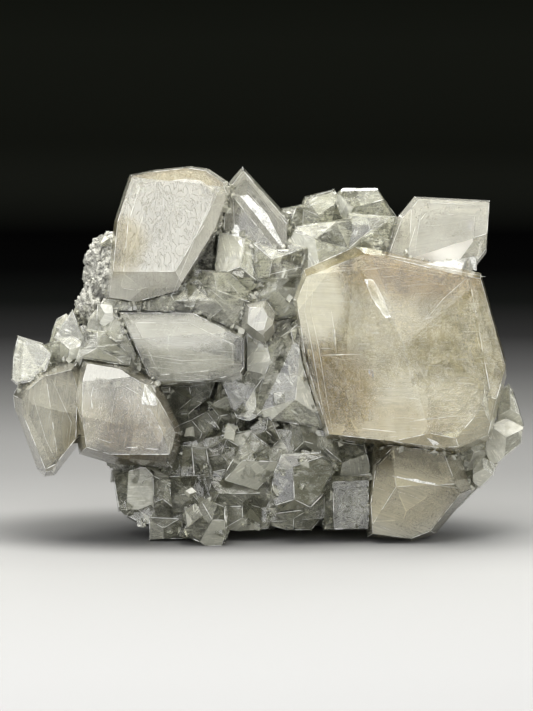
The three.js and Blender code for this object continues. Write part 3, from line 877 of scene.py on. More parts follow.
class Skin(Enum):
    """How a facet differs from the rest of its crystal."""

    ETCHED = "etched"
    SMOKY = "smoky"
    # Matt, and grey as painted shade on a facet that the top light falls on strongly.
    MATT_SHADED = "dull"


@dataclass(frozen=True)
class FacetSkin:
    """A facet that has a skin of its own, found where the display side shows it at (x, v)."""

    node: str
    x: float
    v: float
    skin: Skin


@dataclass
class CalciteCrystals:
    """The crystals themselves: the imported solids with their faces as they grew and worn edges."""

    finishes: dict[str, CalciteFinish]  # by node; the others take that of their slot
    by_slot: dict[str, CalciteFinish]
    edge: WornEdgeAndHighlightFinish
    facets: tuple[FacetSkin, ...] = ()
    edge_mm: float = 0.24
    same_face: float = 1.5  # degrees within which triangles belong to one facet
    same_level: float = 0.1  # and millimetres

    def names(self) -> list[str]:
        """The calcite nodes."""
        return [sub["node"] for sub in frame["record"]["subparts"] if sub["material_slot"] in self.by_slot]

    def skinned(self, finish: CalciteFinish, skin: Skin) -> CalciteFinish:
        """Change a crystal's finish for a facet that has a skin of its own.

        Etched ones are white and matt, matt shaded ones grey and matt, the grey being painted shade on a
        facet that faces up into the top light, and smoky ones brown but clear.

        Args:
            finish: The crystal's finish.
            skin: The facet's skin.

        Returns:
            The facet's finish.
        """
        changes = {
            Skin.ETCHED: {"haze": finish.haze + 0.5, "haze_hex": "f6f4ec", "polish": 0.42,
                          "grain": finish.grain * 1.4},
            Skin.MATT_SHADED: {"haze": 0.5, "haze_hex": "83837e", "polish": 0.45},
            Skin.SMOKY: {"haze": 0.1, "haze_hex": "9a9172", "clear_hex": "c2b998"},
        }
        return replace(finish, name=f"{finish.name}_{skin.value}_facet", facet=0.02, **changes[skin])

    def facet_polygons(self, mesh: bpy.types.Mesh, start: int) -> set[int]:
        """Find the flat facet that a polygon belongs to.

        Args:
            mesh: The crystal's mesh.
            start: The polygon's number.

        Returns:
            The numbers of the facet's polygons.
        """
        normal = mesh.polygons[start].normal
        level = normal.dot(mesh.polygons[start].center)
        limit = math.cos(math.radians(self.same_face))
        return {
            polygon.index for polygon in mesh.polygons
            if polygon.normal.dot(normal) > limit
            and abs(normal.dot(polygon.center) - level) < self.same_level * MM
        }

    def build(self) -> None:
        """Dress every calcite node."""
        edge = self.edge.material()
        made: dict[CalciteFinish, bpy.types.Material] = {}
        for name in self.names():
            node = frame["nodes"][name]
            finish = self.finishes.get(name, self.by_slot[slot_of(name)])
            if finish not in made:
                made[finish] = finish.material()
            node.data.materials.clear()
            node.data.materials.append(made[finish])
            node.data.materials.append(edge)
            self.dress_facets(name, finish)
            wear(node, self.edge_mm, edge_material=1)
            log.info("%s: %s", name, finish.name)

    def dress_facets(self, name: str, finish: CalciteFinish) -> None:
        """Give some facets of a crystal skins of their own.

        Args:
            name: The crystal's node.
            finish: The finish of the rest of it.
        """
        mesh = frame["nodes"][name].data
        tree, _ = shown_tree([name])
        numbers: dict[Skin, int] = {}
        for facet in self.facets:
            if facet.node != name:
                continue
            hit = tree.ray_cast(placed(facet.x, facet.v, IN_FRONT), turned(0, 0, 1))
            if hit[2] is None:
                log.warning("%s shows no facet at %.1f, %.1f", name, facet.x, facet.v)
                continue
            if facet.skin not in numbers:
                numbers[facet.skin] = len(mesh.materials)
                mesh.materials.append(self.skinned(finish, facet.skin).material())
            for number in self.facet_polygons(mesh, hit[2]):
                mesh.polygons[number].material_index = numbers[facet.skin]


@dataclass
class InnerGrowth:
    """Earlier outlines of the large crystals, one inside the other, marked by fine inclusions."""

    shells: dict[str, tuple[float, ...]]  # node to how deep each shell lies, in millimetres
    films: dict[str, InnerFilmFinish]  # of the deepest shell, by node; the rest take that of "others"
    rim: InnerFilmFinish
    grouped: tuple[str, ...] = ()  # the nodes that are groups of small crystals
    least_cover: float = 0.25  # millimetres of clear crystal that stay outside a shell
    group_cover: float = 0.15  # and outside that of a group
    same_face: float = 1.0  # degrees within which triangles belong to one face
    smallest: float = 0.3  # the least that a shell shrinks to, as a share of its crystal
    tries: int = 12  # how often a corner that is still too far out moves in
    nearer: float = 0.93  # and how much of its way to the middle is left each time
    sink_shares: tuple[float, ...] = (1.0, 0.75, 0.5, 0.3)  # of the depth, tried until a corner has cover
    rim_mm: float = 0.1

    def shell(self, name: str, depth: float) -> bmesh.types.BMesh:
        """The outline of a crystal when it was smaller.

        Args:
            name: The crystal's node.
            depth: How far in it lies.

        Returns:
            Its closed mesh.
        """
        tree, _ = shown_tree([name])
        mesh = merged_faces(name, self.same_face)
        if name in self.grouped:
            self.sink(mesh, tree, depth)
        else:
            self.shrink(mesh, tree, depth)
        bmesh.ops.triangulate(mesh, faces=mesh.faces)
        return mesh

    def shrink(self, mesh: bmesh.types.BMesh, tree: BVHTree, depth: float) -> None:
        """Shrink the outline of one crystal to its middle, until each corner lies inside.

        Args:
            mesh: The outline, which is changed.
            tree: The faces of the crystal.
            depth: Millimetres.
        """
        low = Vector([min(vertex.co[k] for vertex in mesh.verts) for k in range(3)])
        high = Vector([max(vertex.co[k] for vertex in mesh.verts) for k in range(3)])
        middle = (low + high) / 2
        shrunk = Vector([max(1 - 2 * depth * MM / (high[k] - low[k]), self.smallest) for k in range(3)])
        for vertex in mesh.verts:
            vertex.co = middle + (vertex.co - middle) * shrunk
            for _ in range(self.tries):
                near, normal, _face, gap = tree.find_nearest(vertex.co)
                inside = (vertex.co - near).dot(normal) < 0
                if inside and gap > self.least_cover * MM:
                    break
                vertex.co = middle + (vertex.co - middle) * self.nearer

    def sink(self, mesh: bmesh.types.BMesh, tree: BVHTree, depth: float) -> None:
        """Move the outline of a group of crystals inward, each corner along its own way out.

        Args:
            mesh: The outline, which is changed.
            tree: The faces of the group.
            depth: Millimetres.
        """
        mesh.normal_update()
        ways = [vertex.normal.copy() for vertex in mesh.verts]
        for vertex, way in zip(mesh.verts, ways):
            start = vertex.co.copy()
            for share in self.sink_shares:
                spot = start - way * depth * share * MM
                near, normal, _face, gap = tree.find_nearest(spot)
                if (spot - near).dot(normal) < 0 and gap > self.group_cover * MM:
                    break
            vertex.co = spot

    def build(self) -> None:
        """Build the shells of every crystal that shows them."""
        rim = self.rim.material()
        made: dict[InnerFilmFinish, bpy.types.Material] = {}
        for name, depths in self.shells.items():
            deepest = self.films.get(name, self.films["others"])
            outer = replace(  # a thin patchy veil, through which the deepest shell still shows
                deepest, name=deepest.name + "_outer_veil", cover=0.6, least_cover=0.04, patch_mm=4.0)
            for number, depth in enumerate(depths):
                film = deepest if number == len(depths) - 1 else outer
                if film not in made:
                    made[film] = film.material()
                piece = add_piece(
                    f"{name}_phantom_{number + 1}", self.shell(name, depth), [made[film], rim])
                wear(piece, self.rim_mm, edge_material=1)


class Film(Enum):
    """What a flake inside a crystal is made of."""

    # Its white is a painted reflection of the light that air in the crack mirrors.
    FLASH = "air_in_a_cleavage_crack"
    VEIL = "veil_of_fluid_inclusions"
    STAIN = "iron_stain_along_a_face"
    SHADE = "dark_inclusions"
    RAINBOW = "thin_film_in_a_crack"


@dataclass(frozen=True)
class Flake:
    """A flat film inside a crystal, given by its corners as the display side shows them."""

    film: Film
    corners: tuple[tuple[float, float], ...]
    depth: float = 1.2  # millimetres of crystal in front of its middle; less than none lies on the face
    tilt: tuple[float, float] = (0.1, 0.1)  # how much further back it lies per millimetre right and up


def painted_flash_chip(*corners: tuple[float, float]) -> Flake:
    """A flake on the face whose white is a painted flash, between corners as the display side shows them."""
    return Flake(Film.FLASH, corners, depth=-0.02)


def crack(x: float, v: float, next_x: float, next_v: float, width: float = 0.3) -> Flake:
    """A narrow crack full of air that runs just under the face from one place to another, its flash painted
    as a white flake.

    Args:
        x: Where it starts, to the right.
        v: Where it starts, up.
        next_x: Where it ends, to the right.
        next_v: Where it ends, up.
        width: How wide it looks, in millimetres.

    Returns:
        The crack, tapered at both ends.
    """
    length = math.hypot(next_x - x, next_v - v)
    side = (-(next_v - v) / length * width / 2, (next_x - x) / length * width / 2)
    third = ((x * 2 + next_x) / 3, (v * 2 + next_v) / 3)
    other = ((x + next_x * 2) / 3, (v + next_v * 2) / 3)
    return Flake(Film.FLASH, (
        (x, v), (third[0] - side[0], third[1] - side[1]), (other[0] - side[0], other[1] - side[1]),
        (next_x, next_v), (other[0] + side[0], other[1] + side[1]), (third[0] + side[0], third[1] + side[1]),
    ), depth=0.8, tilt=(0.0, 0.0))


@dataclass
class InnerFlakes:
    """Cleavage cracks, veils and stains inside the crystals, one piece for each kind."""

    flakes: tuple[Flake, ...]
    films: dict[Film, InnerFilmFinish]
    crystals: CalciteCrystals
    thickness: float = 0.05
    step: float = 0.7  # millimetres between the points of a flake's uneven border
    unevenness: float = 0.18  # the most that a point leaves the border, in millimetres
    uneven_share: float = 0.1  # and as a share of its side of the flake
    least_depth: float = 0.2
    seed: int = 17  # of the noise along the borders, which would else start from the clock

    def border(self, flake: Flake, seed: int) -> list[tuple[float, float]]:
        """The uneven border of a flake.

        Args:
            flake: The flake.
            seed: Its number, which gives it a part of the noise of its own.

        Returns:
            The places (x, v) of its points.
        """
        points: list[tuple[float, float]] = []
        for (x, v), (next_x, next_v) in zip(flake.corners, flake.corners[1:] + flake.corners[:1]):
            length = math.hypot(next_x - x, next_v - v)
            amount = min(self.unevenness, length * self.uneven_share)
            pieces = max(1, round(length / self.step))
            for i in range(pieces):
                right, up = (next_x - x) * (i / pieces), (next_v - v) * (i / pieces)
                shift = noise.noise_vector(Vector((seed * 7.3, x + right, v * 1.7 + up)))
                points.append((x + right + shift.x * amount, v + up + shift.y * amount))
        return points

    def add_flake(self, mesh: bmesh.types.BMesh, flake: Flake, tree: BVHTree, seed: int) -> None:
        """Add one flake as a thin closed wafer.

        Args:
            mesh: The mesh that it goes in.
            flake: The flake.
            tree: The crystals' faces.
            seed: Its number, which gives it a part of the noise of its own.
        """
        count = len(flake.corners)
        mid_x = sum(x for x, _ in flake.corners) / count
        mid_v = sum(v for _, v in flake.corners) / count
        front = seen_depth(tree, mid_x, mid_v)
        if front is None:
            return
        border = self.border(flake, seed)
        rings: list[list[bmesh.types.BMVert]] = []
        for side in (0, self.thickness):
            ring = []
            for x, v in border:
                w = front + flake.depth + side + flake.tilt[0] * (x - mid_x) + flake.tilt[1] * (v - mid_v)
                own_front = seen_depth(tree, x, v)
                if own_front is not None and flake.depth < 0:
                    w = own_front + flake.depth + side
                elif own_front is not None:
                    w = max(w, own_front + self.least_depth + side)
                ring.append(mesh.verts.new(placed(x, v, w)))
            rings.append(ring)
        near, far = rings
        mesh.faces.new(near)
        mesh.faces.new(far[::-1])
        for i in range(len(near)):
            j = (i + 1) % len(near)
            mesh.faces.new((near[j], near[i], far[i], far[j]))

    def build(self) -> None:
        """Build one piece for each kind of film."""
        noise.seed_set(self.seed)
        tree, _ = shown_tree(self.crystals.names())
        for film, finish in self.films.items():
            mesh = bmesh.new()
            for number, flake in enumerate(self.flakes):
                if flake.film is film:
                    self.add_flake(mesh, flake, tree, number)
            bmesh.ops.triangulate(mesh, faces=mesh.faces)
            bmesh.ops.recalc_face_normals(mesh, faces=mesh.faces)
            add_piece(film.value, mesh, [finish.material()])


@dataclass(frozen=True)
class Thread:
    """A fine raised line on a crystal's face, by the places that it runs through on the display side."""

    places: tuple[tuple[float, float], ...]
    width: float = 0.22
    height: float = 0.06


@dataclass
class FaceThreads:
    """Growth steps, bruises and the mouths of cracks that run over the faces as fine white lines, partly
    painted highlights.
    """

    threads: tuple[Thread, ...]
    brushed: tuple[tuple[str, float, int], ...]  # node, degrees that its striae run at, and how many
    finish: WornEdgeAndHighlightFinish
    seed: int = 23
    step: float = 0.8
    narrower: float = 0.6  # how wide a thread is made, as a share of its width
    least_taper: float = 0.25  # the width at its very ends, as a share
    taper: float = 1.5  # how fast it widens from there
    foot: float = 0.02  # how far it reaches under the face
    cliff: float = 1.2  # the step in depth that ends it, in steps along it
    stria_turn: float = 2.0  # degrees, the spread of the striae about their own way
    stria_length: tuple[float, float] = (1.0, 5.0)
    stria_width: tuple[float, float] = (0.04, 0.1)
    stria_height: float = 0.015

    def run(self, thread: Thread, tree: BVHTree) -> list[tuple[Vector, Vector, float]]:
        """Follow a line over the surface until it ends or comes to a cliff.

        Args:
            thread: The line.
            tree: The faces that it lies on.

        Returns:
            Each place on it, the way out of the surface there, and how far that is from in front.
        """
        points: list[tuple[float, float]] = []
        for (x, v), (next_x, next_v) in zip(thread.places, thread.places[1:]):
            pieces = max(1, round(math.hypot(next_x - x, next_v - v) / self.step))
            points += [(x + (next_x - x) * i / pieces, v + (next_v - v) * i / pieces) for i in range(pieces)]
        found: list[tuple[Vector, Vector, float]] = []
        for x, v in [*points, thread.places[-1]]:
            place, normal, _face, gap = tree.ray_cast(placed(x, v, IN_FRONT), turned(0, 0, 1))
            if place is None or (found and abs(gap - found[-1][2]) > self.cliff * self.step * MM):
                break
            found.append((place, normal, gap))
        return found

    def add_thread(self, mesh: bmesh.types.BMesh, thread: Thread, tree: BVHTree) -> None:
        """Add one line as a low closed ridge that follows the surface, tapered at both ends.

        Args:
            mesh: The mesh that it goes in.
            thread: The line.
            tree: The faces that it lies on.
        """
        found = self.run(thread, tree)
        if len(found) < 3:
            return
        sections = []
        for i, (place, normal, _gap) in enumerate(found):
            ahead = (found[min(i + 1, len(found) - 1)][0] - found[max(i - 1, 0)][0]).normalized()
            side = normal.cross(ahead).normalized()
            from_end = min(i, len(found) - 1 - i)
            taper = min(1.0, self.least_taper + self.taper * from_end / len(found))
            half = side * thread.width * taper * MM / 2
            foot = normal * self.foot * MM
            sections.append([mesh.verts.new(corner) for corner in (
                place - half - foot, place + normal * thread.height * taper * MM, place + half - foot)])
        for here, there in zip(sections, sections[1:]):
            for k in range(3):
                mesh.faces.new((here[k], here[(k + 1) % 3], there[(k + 1) % 3], there[k]))
        mesh.faces.new(sections[0][::-1])
        mesh.faces.new(sections[-1])

    def add_striae(self, mesh: bmesh.types.BMesh, node: str, degrees: float, count: int,
                   chance: random.Random) -> None:
        """Add the short fine striae of one crystal, all of them running nearly one way.

        Args:
            mesh: The mesh that they go in.
            node: The crystal.
            degrees: The way that they run.
            count: How many are tried.
            chance: Where their places and sizes come from.
        """
        tree, _ = shown_tree([node])
        corners = [shown_at(vertex.co) for vertex in frame["nodes"][node].data.vertices]
        xs, vs = zip(*corners)
        for _ in range(count):
            x, v = chance.uniform(min(xs), max(xs)), chance.uniform(min(vs), max(vs))
            angle = math.radians(degrees + chance.gauss(0, self.stria_turn))
            length = chance.uniform(*self.stria_length)
            end = (x + math.cos(angle) * length, v + math.sin(angle) * length)
            width = chance.uniform(*self.stria_width)
            self.add_thread(mesh, Thread(((x, v), end), width, self.stria_height), tree)

    def build(self) -> None:
        """Build all the lines as one piece."""
        mesh = bmesh.new()
        tree, _ = shown_tree(all_nodes())
        for thread in self.threads:
            self.add_thread(mesh, replace(thread, width=thread.width * self.narrower), tree)
        chance = random.Random(self.seed)
        for node, degrees, count in self.brushed:
            self.add_striae(mesh, node, degrees, count, chance)
        bmesh.ops.recalc_face_normals(mesh, faces=mesh.faces)
        add_piece("growth_lines_painted_highlight", mesh, [self.finish.material()])


@dataclass
class EdgeBeads:
    """The bruised ridges of the crystals, where fine chips catch the light all along an edge; their white is
    partly chipped calcite and partly a painted highlight.
    """

    crystals: CalciteCrystals
    finish: WornEdgeAndHighlightFinish
    radius: float = 0.066
    thickness: tuple[float, float] = (0.35, 1.1)  # of a bead, before the next two make most of them thin
    thinner: float = 1.3
    thicker: float = 1.2
    length: tuple[float, float] = (1.5, 4.0)
    overlap: float = 0.25  # how far a bead may run into the next, as a share of its length
    shoulders: tuple[float, float] = (0.2, 0.8)  # where a bead is thickest, as shares of its length
    sharpest: float = 24.0  # degrees between two faces from which their edge is bruised
    shortest: float = 1.2
    same_face: float = 1.0  # degrees within which triangles belong to one face
    present: float = 0.56  # the share of the edges' length that is bruised
    seed: int = 31

    def edges(self, name: str) -> list[tuple[Vector, Vector, Vector]]:
        """Find the sharp outward edges of a crystal.

        Args:
            name: The crystal's node.

        Returns:
            Both ends of each edge, and the way out between its two faces.
        """
        mesh = merged_faces(name, self.same_face)
        mesh.normal_update()
        found = []
        for edge in mesh.edges:
            if len(edge.link_faces) != 2 or edge.calc_length() < self.shortest * MM:
                continue
            if not edge.is_convex or edge.calc_face_angle(0) < math.radians(self.sharpest):
                continue
            out = (edge.link_faces[0].normal + edge.link_faces[1].normal).normalized()
            found.append((edge.verts[0].co.copy(), edge.verts[1].co.copy(), out))
        mesh.free()
        return found

    def add_bead(self, mesh: bmesh.types.BMesh, start: Vector, end: Vector, out: Vector,
                 radius: float) -> None:
        """Add one closed four-sided bead, pointed at both ends.

        Args:
            mesh: The mesh that it goes in.
            start: One end, in metres.
            end: The other end.
            out: The way out of the crystal.
            radius: How thick it is, in millimetres.
        """
        ahead = (end - start).normalized()
        side = ahead.cross(out).normalized()
        ways = [way * radius * MM for way in (out, side, -out, -side)]
        middles = [start.lerp(end, share) for share in self.shoulders]
        rings = [[mesh.verts.new(middle + way) for way in ways] for middle in middles]
        tips = [mesh.verts.new(start), mesh.verts.new(end)]
        for k in range(4):
            j = (k + 1) % 4
            mesh.faces.new((rings[0][k], rings[0][j], rings[1][j], rings[1][k]))
            mesh.faces.new((rings[0][j], rings[0][k], tips[0]))
            mesh.faces.new((rings[1][k], rings[1][j], tips[1]))

    def build(self) -> None:
        """Build all beads as one piece."""
        chance = random.Random(self.seed)
        mesh = bmesh.new()
        for name in self.crystals.names():
            for start, end, out in self.edges(name):
                pieces = max(1, round((end - start).length / MM / chance.uniform(*self.length)))
                for i in range(pieces):
                    radius = self.radius * chance.uniform(*self.thickness) ** self.thinner * self.thicker
                    if chance.random() > self.present:
                        continue
                    low = max(0.0, (i - chance.uniform(0, self.overlap)) / pieces)
                    high = min(1.0, (i + 1 + chance.uniform(0, self.overlap)) / pieces)
                    self.add_bead(mesh, start.lerp(end, low), start.lerp(end, high), out, radius)
        bmesh.ops.recalc_face_normals(mesh, faces=mesh.faces)
        add_piece("bruised_edges_painted_highlight", mesh, [self.finish.material()])


@dataclass(frozen=True)
class Rhomb:
    """A small calcite rhombohedron, with the slant of its cleavage and uneven corners."""

    size: float  # the length of its edges, in millimetres
    flat: float = 0.8  # how long it is along its own axis, in edges
    slant: float = 0.26  # how far its top leans
    uneven: float = 0.09  # how far a corner may be off, in edges

    def add(self, mesh: bmesh.types.BMesh, middle: Vector, chance: random.Random) -> None:
        """Add it as a closed form, turned at random.

        Args:
            mesh: The mesh that it goes in.
            middle: Its middle, in metres.
            chance: Where its turn and unevenness come from.
        """
        turn = Euler([chance.uniform(0, math.tau) for _ in range(3)]).to_matrix()
        points = []
        for z in (-0.5, 0.5):
            for x, y in ((-0.5, -0.5), (0.5, -0.5), (0.5, 0.5), (-0.5, 0.5)):
                uneven = Vector([chance.uniform(-self.uneven, self.uneven) for _ in range(3)])
                corner = Vector((x + self.slant * z, y + self.slant * z, z * self.flat)) + uneven
                points.append(mesh.verts.new(middle + turn @ corner * self.size * MM))
        bmesh.ops.convex_hull(mesh, input=points)
        loose = [vertex for vertex in points if not vertex.link_faces]
        bmesh.ops.delete(mesh, geom=loose, context="VERTS")


@dataclass(frozen=True)
class Spot:
    """A small crystal of its own, in the display frame."""

    x: float
    v: float
    size: float
    out: float = 0.0  # how far its middle stands in front of what is there


@dataclass
class SeamCrystals:
    """Tiny calcite rhombs in the seams between the crystals and on the marcasite, and a few larger ones."""

    finish: CalciteFinish
    spots: tuple[Spot, ...]
    seed: int = 11
    step: float = 1.1  # millimetres between the places that are looked at
    looked_at: tuple[float, float] = (140.0, 90.0)  # how wide and how high the field of them is
    start: float = -120.0  # the depth from which each side is looked at
    share: float = 0.55  # of the seams that carry one
    sizes: tuple[float, float] = (0.5, 1.5)
    reach: float = 0.7  # how far it may reach from its middle, as a share of its size
    deepest: float = 5.0  # the largest step in depth that still counts as a seam
    sunk: float = 0.1  # how far a middle lies behind the deeper surface, as a share of its size
    sides: tuple[float, ...] = (0.0, 90.0, 180.0, 270.0)

    def seen_rows(self, tree: BVHTree, owners: list[str], side: float) -> list[list[Seen | None]]:
        """Look at one side over a field of places.

        Args:
            tree: The faces of all nodes.
            owners: The node of each face.
            side: Degrees around from the display side.

        Returns:
            Rows of what shows: its place in metres, how far away it is, and its node.
        """
        spin = Matrix.Rotation(math.radians(side), 3, "Z")
        ahead = spin @ turned(0, 0, 1)
        wide, high = (round(length / self.step) for length in self.looked_at)
        rows: list[list[Seen | None]] = []
        for j in range(high):
            row: list[Seen | None] = []
            for i in range(wide):
                start = spin @ placed((i - wide / 2) * self.step, j * self.step, self.start)
                place, _normal, face, gap = tree.ray_cast(start, ahead)
                row.append(None if place is None else (place, gap, owners[face]))
            rows.append(row)
        return rows

    def seams(self, tree: BVHTree, owners: list[str], side: float) -> list[Vector]:
        """Find places in the seams that one side shows.

        Args:
            tree: The faces of all nodes.
            owners: The node of each face.
            side: Degrees around from the display side.

        Returns:
            Places on the deeper of the two surfaces that meet, in metres.
        """
        rows = self.seen_rows(tree, owners, side)
        places: list[Vector] = []
        for j in range(1, len(rows)):
            for i in range(1, len(rows[j])):
                here, left, below = rows[j][i], rows[j][i - 1], rows[j - 1][i]
                for other in (left, below):
                    if here is None or other is None or here[2] == other[2]:
                        continue
                    if abs(here[1] - other[1]) < self.deepest * MM:
                        places.append(max(here, other, key=lambda found: found[1])[0])
        return places

    def build(self) -> None:
        """Build them as one piece."""
        tree, owners = shown_tree(all_nodes())
        chance = random.Random(self.seed)
        mesh = bmesh.new()
        for side in self.sides:
            ahead = Matrix.Rotation(math.radians(side), 3, "Z") @ turned(0, 0, 1)
            for place in self.seams(tree, owners, side):
                size = chance.uniform(*self.sizes)
                if chance.random() > self.share:
                    continue
                middle = place + ahead * self.sunk * size * MM
                if in_box(middle, self.reach * size * MM):
                    Rhomb(size).add(mesh, middle, chance)
        for spot in self.spots:
            depth = seen_depth(tree, spot.x, spot.v)
            if depth is None:
                log.warning("nothing is behind the small crystal at %.1f, %.1f", spot.x, spot.v)
                continue
            Rhomb(spot.size).add(mesh, placed(spot.x, spot.v, depth - spot.out), chance)
        add_piece("seam_crystals", mesh, [self.finish.material()])


@dataclass
class Overgrowth:
    """Younger crystals that grew on the faces of the groups and stand half sunk in them."""

    finish: CalciteFinish
    counts: dict[str, int]  # by node
    seed: int = 47
    sizes: tuple[float, float] = (1.0, 2.6)  # before the next two make most of them small
    smaller: float = 1.3
    scale: float = 0.8
    reach: float = 0.8  # how far it may reach from its middle, as a share of its size
    sunk: float = 0.26  # how far a middle lies under the face, as a share of its size
    lift: float = 0.05  # how far in front of the face the free room starts
    open_mm: float = 1.5  # the free room that there is in front of the face
    stands: float = 0.6  # how far its outermost part stands in front of the face, as a share of its size
    lowest: float = -0.35  # how far down a face may look

    def has_room(self, tree: BVHTree, place: Vector, out: Vector, size: float) -> bool:
        """Whether a crystal can grow on a face: it has room, something is behind it and it doesn't hang.

        Args:
            tree: The faces of all nodes.
            place: The place on the face, in metres.
            out: The way out of the face.
            size: The crystal's size, in millimetres.

        Returns:
            True if it can.
        """
        near = tree.ray_cast(place + out * self.lift * MM, out, self.open_mm * MM)[0]
        behind = tree.ray_cast(place + out * self.stands * size * MM, turned(0, 0, 1))[0]
        return near is None and behind is not None and out.z >= self.lowest

    def build(self) -> None:
        """Build them as one piece."""
        tree, _ = shown_tree(all_nodes())
        chance = random.Random(self.seed)
        mesh = bmesh.new()
        for name, count in self.counts.items():
            source = frame["nodes"][name].data
            weights = [polygon.area for polygon in source.polygons]
            for polygon in chance.choices(source.polygons, weights, k=count):
                first, second, third = (source.vertices[k].co for k in polygon.vertices[:3])
                along, across = sorted((chance.random(), chance.random()))
                place = first + (second - first) * along + (third - first) * (1 - across)
                size = chance.uniform(*self.sizes) ** self.smaller * self.scale
                middle = place - polygon.normal * self.sunk * size * MM
                room = self.has_room(tree, place, polygon.normal, size)
                if room and in_box(middle, self.reach * size * MM):
                    Rhomb(size).add(mesh, middle, chance)
        add_piece("overgrown_crystals", mesh, [self.finish.material()])


# ----------------------------------------------------------------------------------------------------
# Marcasite


@dataclass
class MarcasiteCrust:
    """The matrix, with the grains and blades of its crust as surfaces of their own."""

    crystals: CalciteCrystals
    finish: MarcasiteFinish
    node: str = "marcasite_matrix"
    slot: str = "marcasite"
    seed: int = 5
    voxel: float = 0.55
    grain: float = 1.3
    grain_round: float = 0.8  # how far a grain's slope runs from its middle, in grains
    grain_height: tuple[float, float] = (0.5, 0.9)  # the least, and how much more it may be
    dome: float = 0.9  # how high a grain stands, in millimetres
    sunk: float = 0.75  # how far the valleys lie below the solid
    clearance: float = 0.1  # that is left to the crystals
    blades: int = 5200
    blade_mm: tuple[float, float] = (0.7, 1.7)
    blade_lean: float = 0.6  # the spread of their ways about the way out
    blade_sides: tuple[int, ...] = (4, 5, 6)
    blade_thick: tuple[float, float] = (0.22, 0.42)  # half its thickness, as a share of its size
    blade_reach: tuple[float, float] = (0.4, 0.56)  # how far a corner lies from its middle
    blade_uneven: float = 0.2  # how far a corner may be off, in sides
    blade_tip: float = 0.05  # how far its two tips are off its middle
    blade_sink: tuple[float, float] = (0.35, 0.75)  # how far under the surface it starts
    margin: float = 0.5  # that blades keep from the box
    ground: float = 0.9  # and from the floor
    free: float = 0.45  # millimetres of free space that a blade grows into

    def skin(self) -> bmesh.types.BMesh:
        """The solid's surface as an even fine mesh.

        Returns:
            The mesh.
        """
        copy = bpy.data.objects.new("crust_source", frame["nodes"][self.node].data.copy())
        bpy.context.scene.collection.objects.link(copy)
        remesh = copy.modifiers.new("grid", "REMESH")
        remesh.mode = "VOXEL"
        remesh.voxel_size = self.voxel * MM
        mesh = bmesh.new()
        mesh.from_mesh(copy.evaluated_get(bpy.context.evaluated_depsgraph_get()).data)
        data = copy.data
        bpy.data.objects.remove(copy)
        bpy.data.meshes.remove(data)
        mesh.normal_update()
        return mesh

    def roughen(self, mesh: bmesh.types.BMesh, tree: BVHTree) -> None:
        """Give the surface rounded grains of uneven height.

        Args:
            mesh: The surface, which is changed.
            tree: The crystals' faces, which it keeps clear of.
        """
        least, more = self.grain_height
        moves: list[Vector] = []
        for vertex in mesh.verts:
            far, middles = noise.voronoi(vertex.co / (self.grain * MM))
            height = least + more * noise.cell(middles[0] * 3.1)
            rise = self.dome * max(0.0, 1 - (far[0] / self.grain_round) ** 2) * height - self.sunk
            gap = tree.find_nearest(vertex.co)[3] / MM
            moves.append(vertex.normal * (min(rise, gap - self.clearance) * MM))
        for vertex, move in zip(mesh.verts, moves):
            vertex.co += move
            vertex.co.z = max(vertex.co.z, 0.0)
        for face in mesh.faces:
            face.smooth = True

    def add_blade(self, mesh: bmesh.types.BMesh, foot: Vector, out: Vector, chance: random.Random) -> None:
        """Add one small blade: a flattened pyramid on both sides of a four- to six-sided middle.

        Args:
            mesh: The mesh that it goes in.
            foot: Where it grows from, in metres.
            out: The way out of the surface there.
            chance: Where its form comes from.
        """
        size = chance.uniform(*self.blade_mm) * MM
        lean = Vector([chance.gauss(0, self.blade_lean) for _ in range(3)])
        turn = (out + lean).to_track_quat("Y", "Z").to_matrix()
        turn = turn @ Matrix.Rotation(chance.uniform(0, math.tau), 3, "Y")
        sides = chance.choice(self.blade_sides)
        thick = chance.uniform(*self.blade_thick)
        ring = []
        for i in range(sides):
            angle = math.tau * (i + chance.uniform(-self.blade_uneven, self.blade_uneven)) / sides
            reach = chance.uniform(*self.blade_reach)
            corner = Vector((math.cos(angle) * reach, math.sin(angle) * reach, 0))
            ring.append(mesh.verts.new(foot + turn @ corner * size))
        ends = [Vector((self.blade_tip, self.blade_tip, side * thick)) for side in (-1, 1)]
        tips = [mesh.verts.new(foot + turn @ end * size) for end in ends]
        for i in range(sides):
            j = (i + 1) % sides
            mesh.faces.new((ring[j], ring[i], tips[0]))
            mesh.faces.new((ring[i], ring[j], tips[1]))

    def is_free(self, tree: BVHTree, place: Vector) -> bool:
        """Whether a blade has room beside the crystals.

        Args:
            tree: The crystals' faces.
            place: Where it would grow from, in metres.

        Returns:
            True if it has.
        """
        near, normal, _face, gap = tree.find_nearest(place)
        return gap > self.free * MM and (place - near).dot(normal) > 0

    def build(self) -> None:
        """Build the crust and its blades."""
        tree, _ = shown_tree(self.crystals.names())
        chance = random.Random(self.seed)
        mesh = self.skin()
        feet = [(face.calc_center_median(), face.normal.copy()) for face in mesh.faces]
        free = [(place, out) for place, out in feet if out.length > 0 and self.is_free(tree, place)]
        self.roughen(mesh, tree)
        add_piece("marcasite_crust", mesh, [self.finish.material()], (self.node,))
        blades = bmesh.new()
        for place, out in chance.sample(free, min(self.blades, len(free))):
            sink = chance.uniform(*self.blade_sink) * MM
            foot = place - out * sink
            if in_box(foot, self.margin * MM) and foot.z > self.ground * MM:
                self.add_blade(blades, foot, out, chance)
        add_piece("marcasite_blades", blades, [self.finish.material()])


# ----------------------------------------------------------------------------------------------------
# Stage


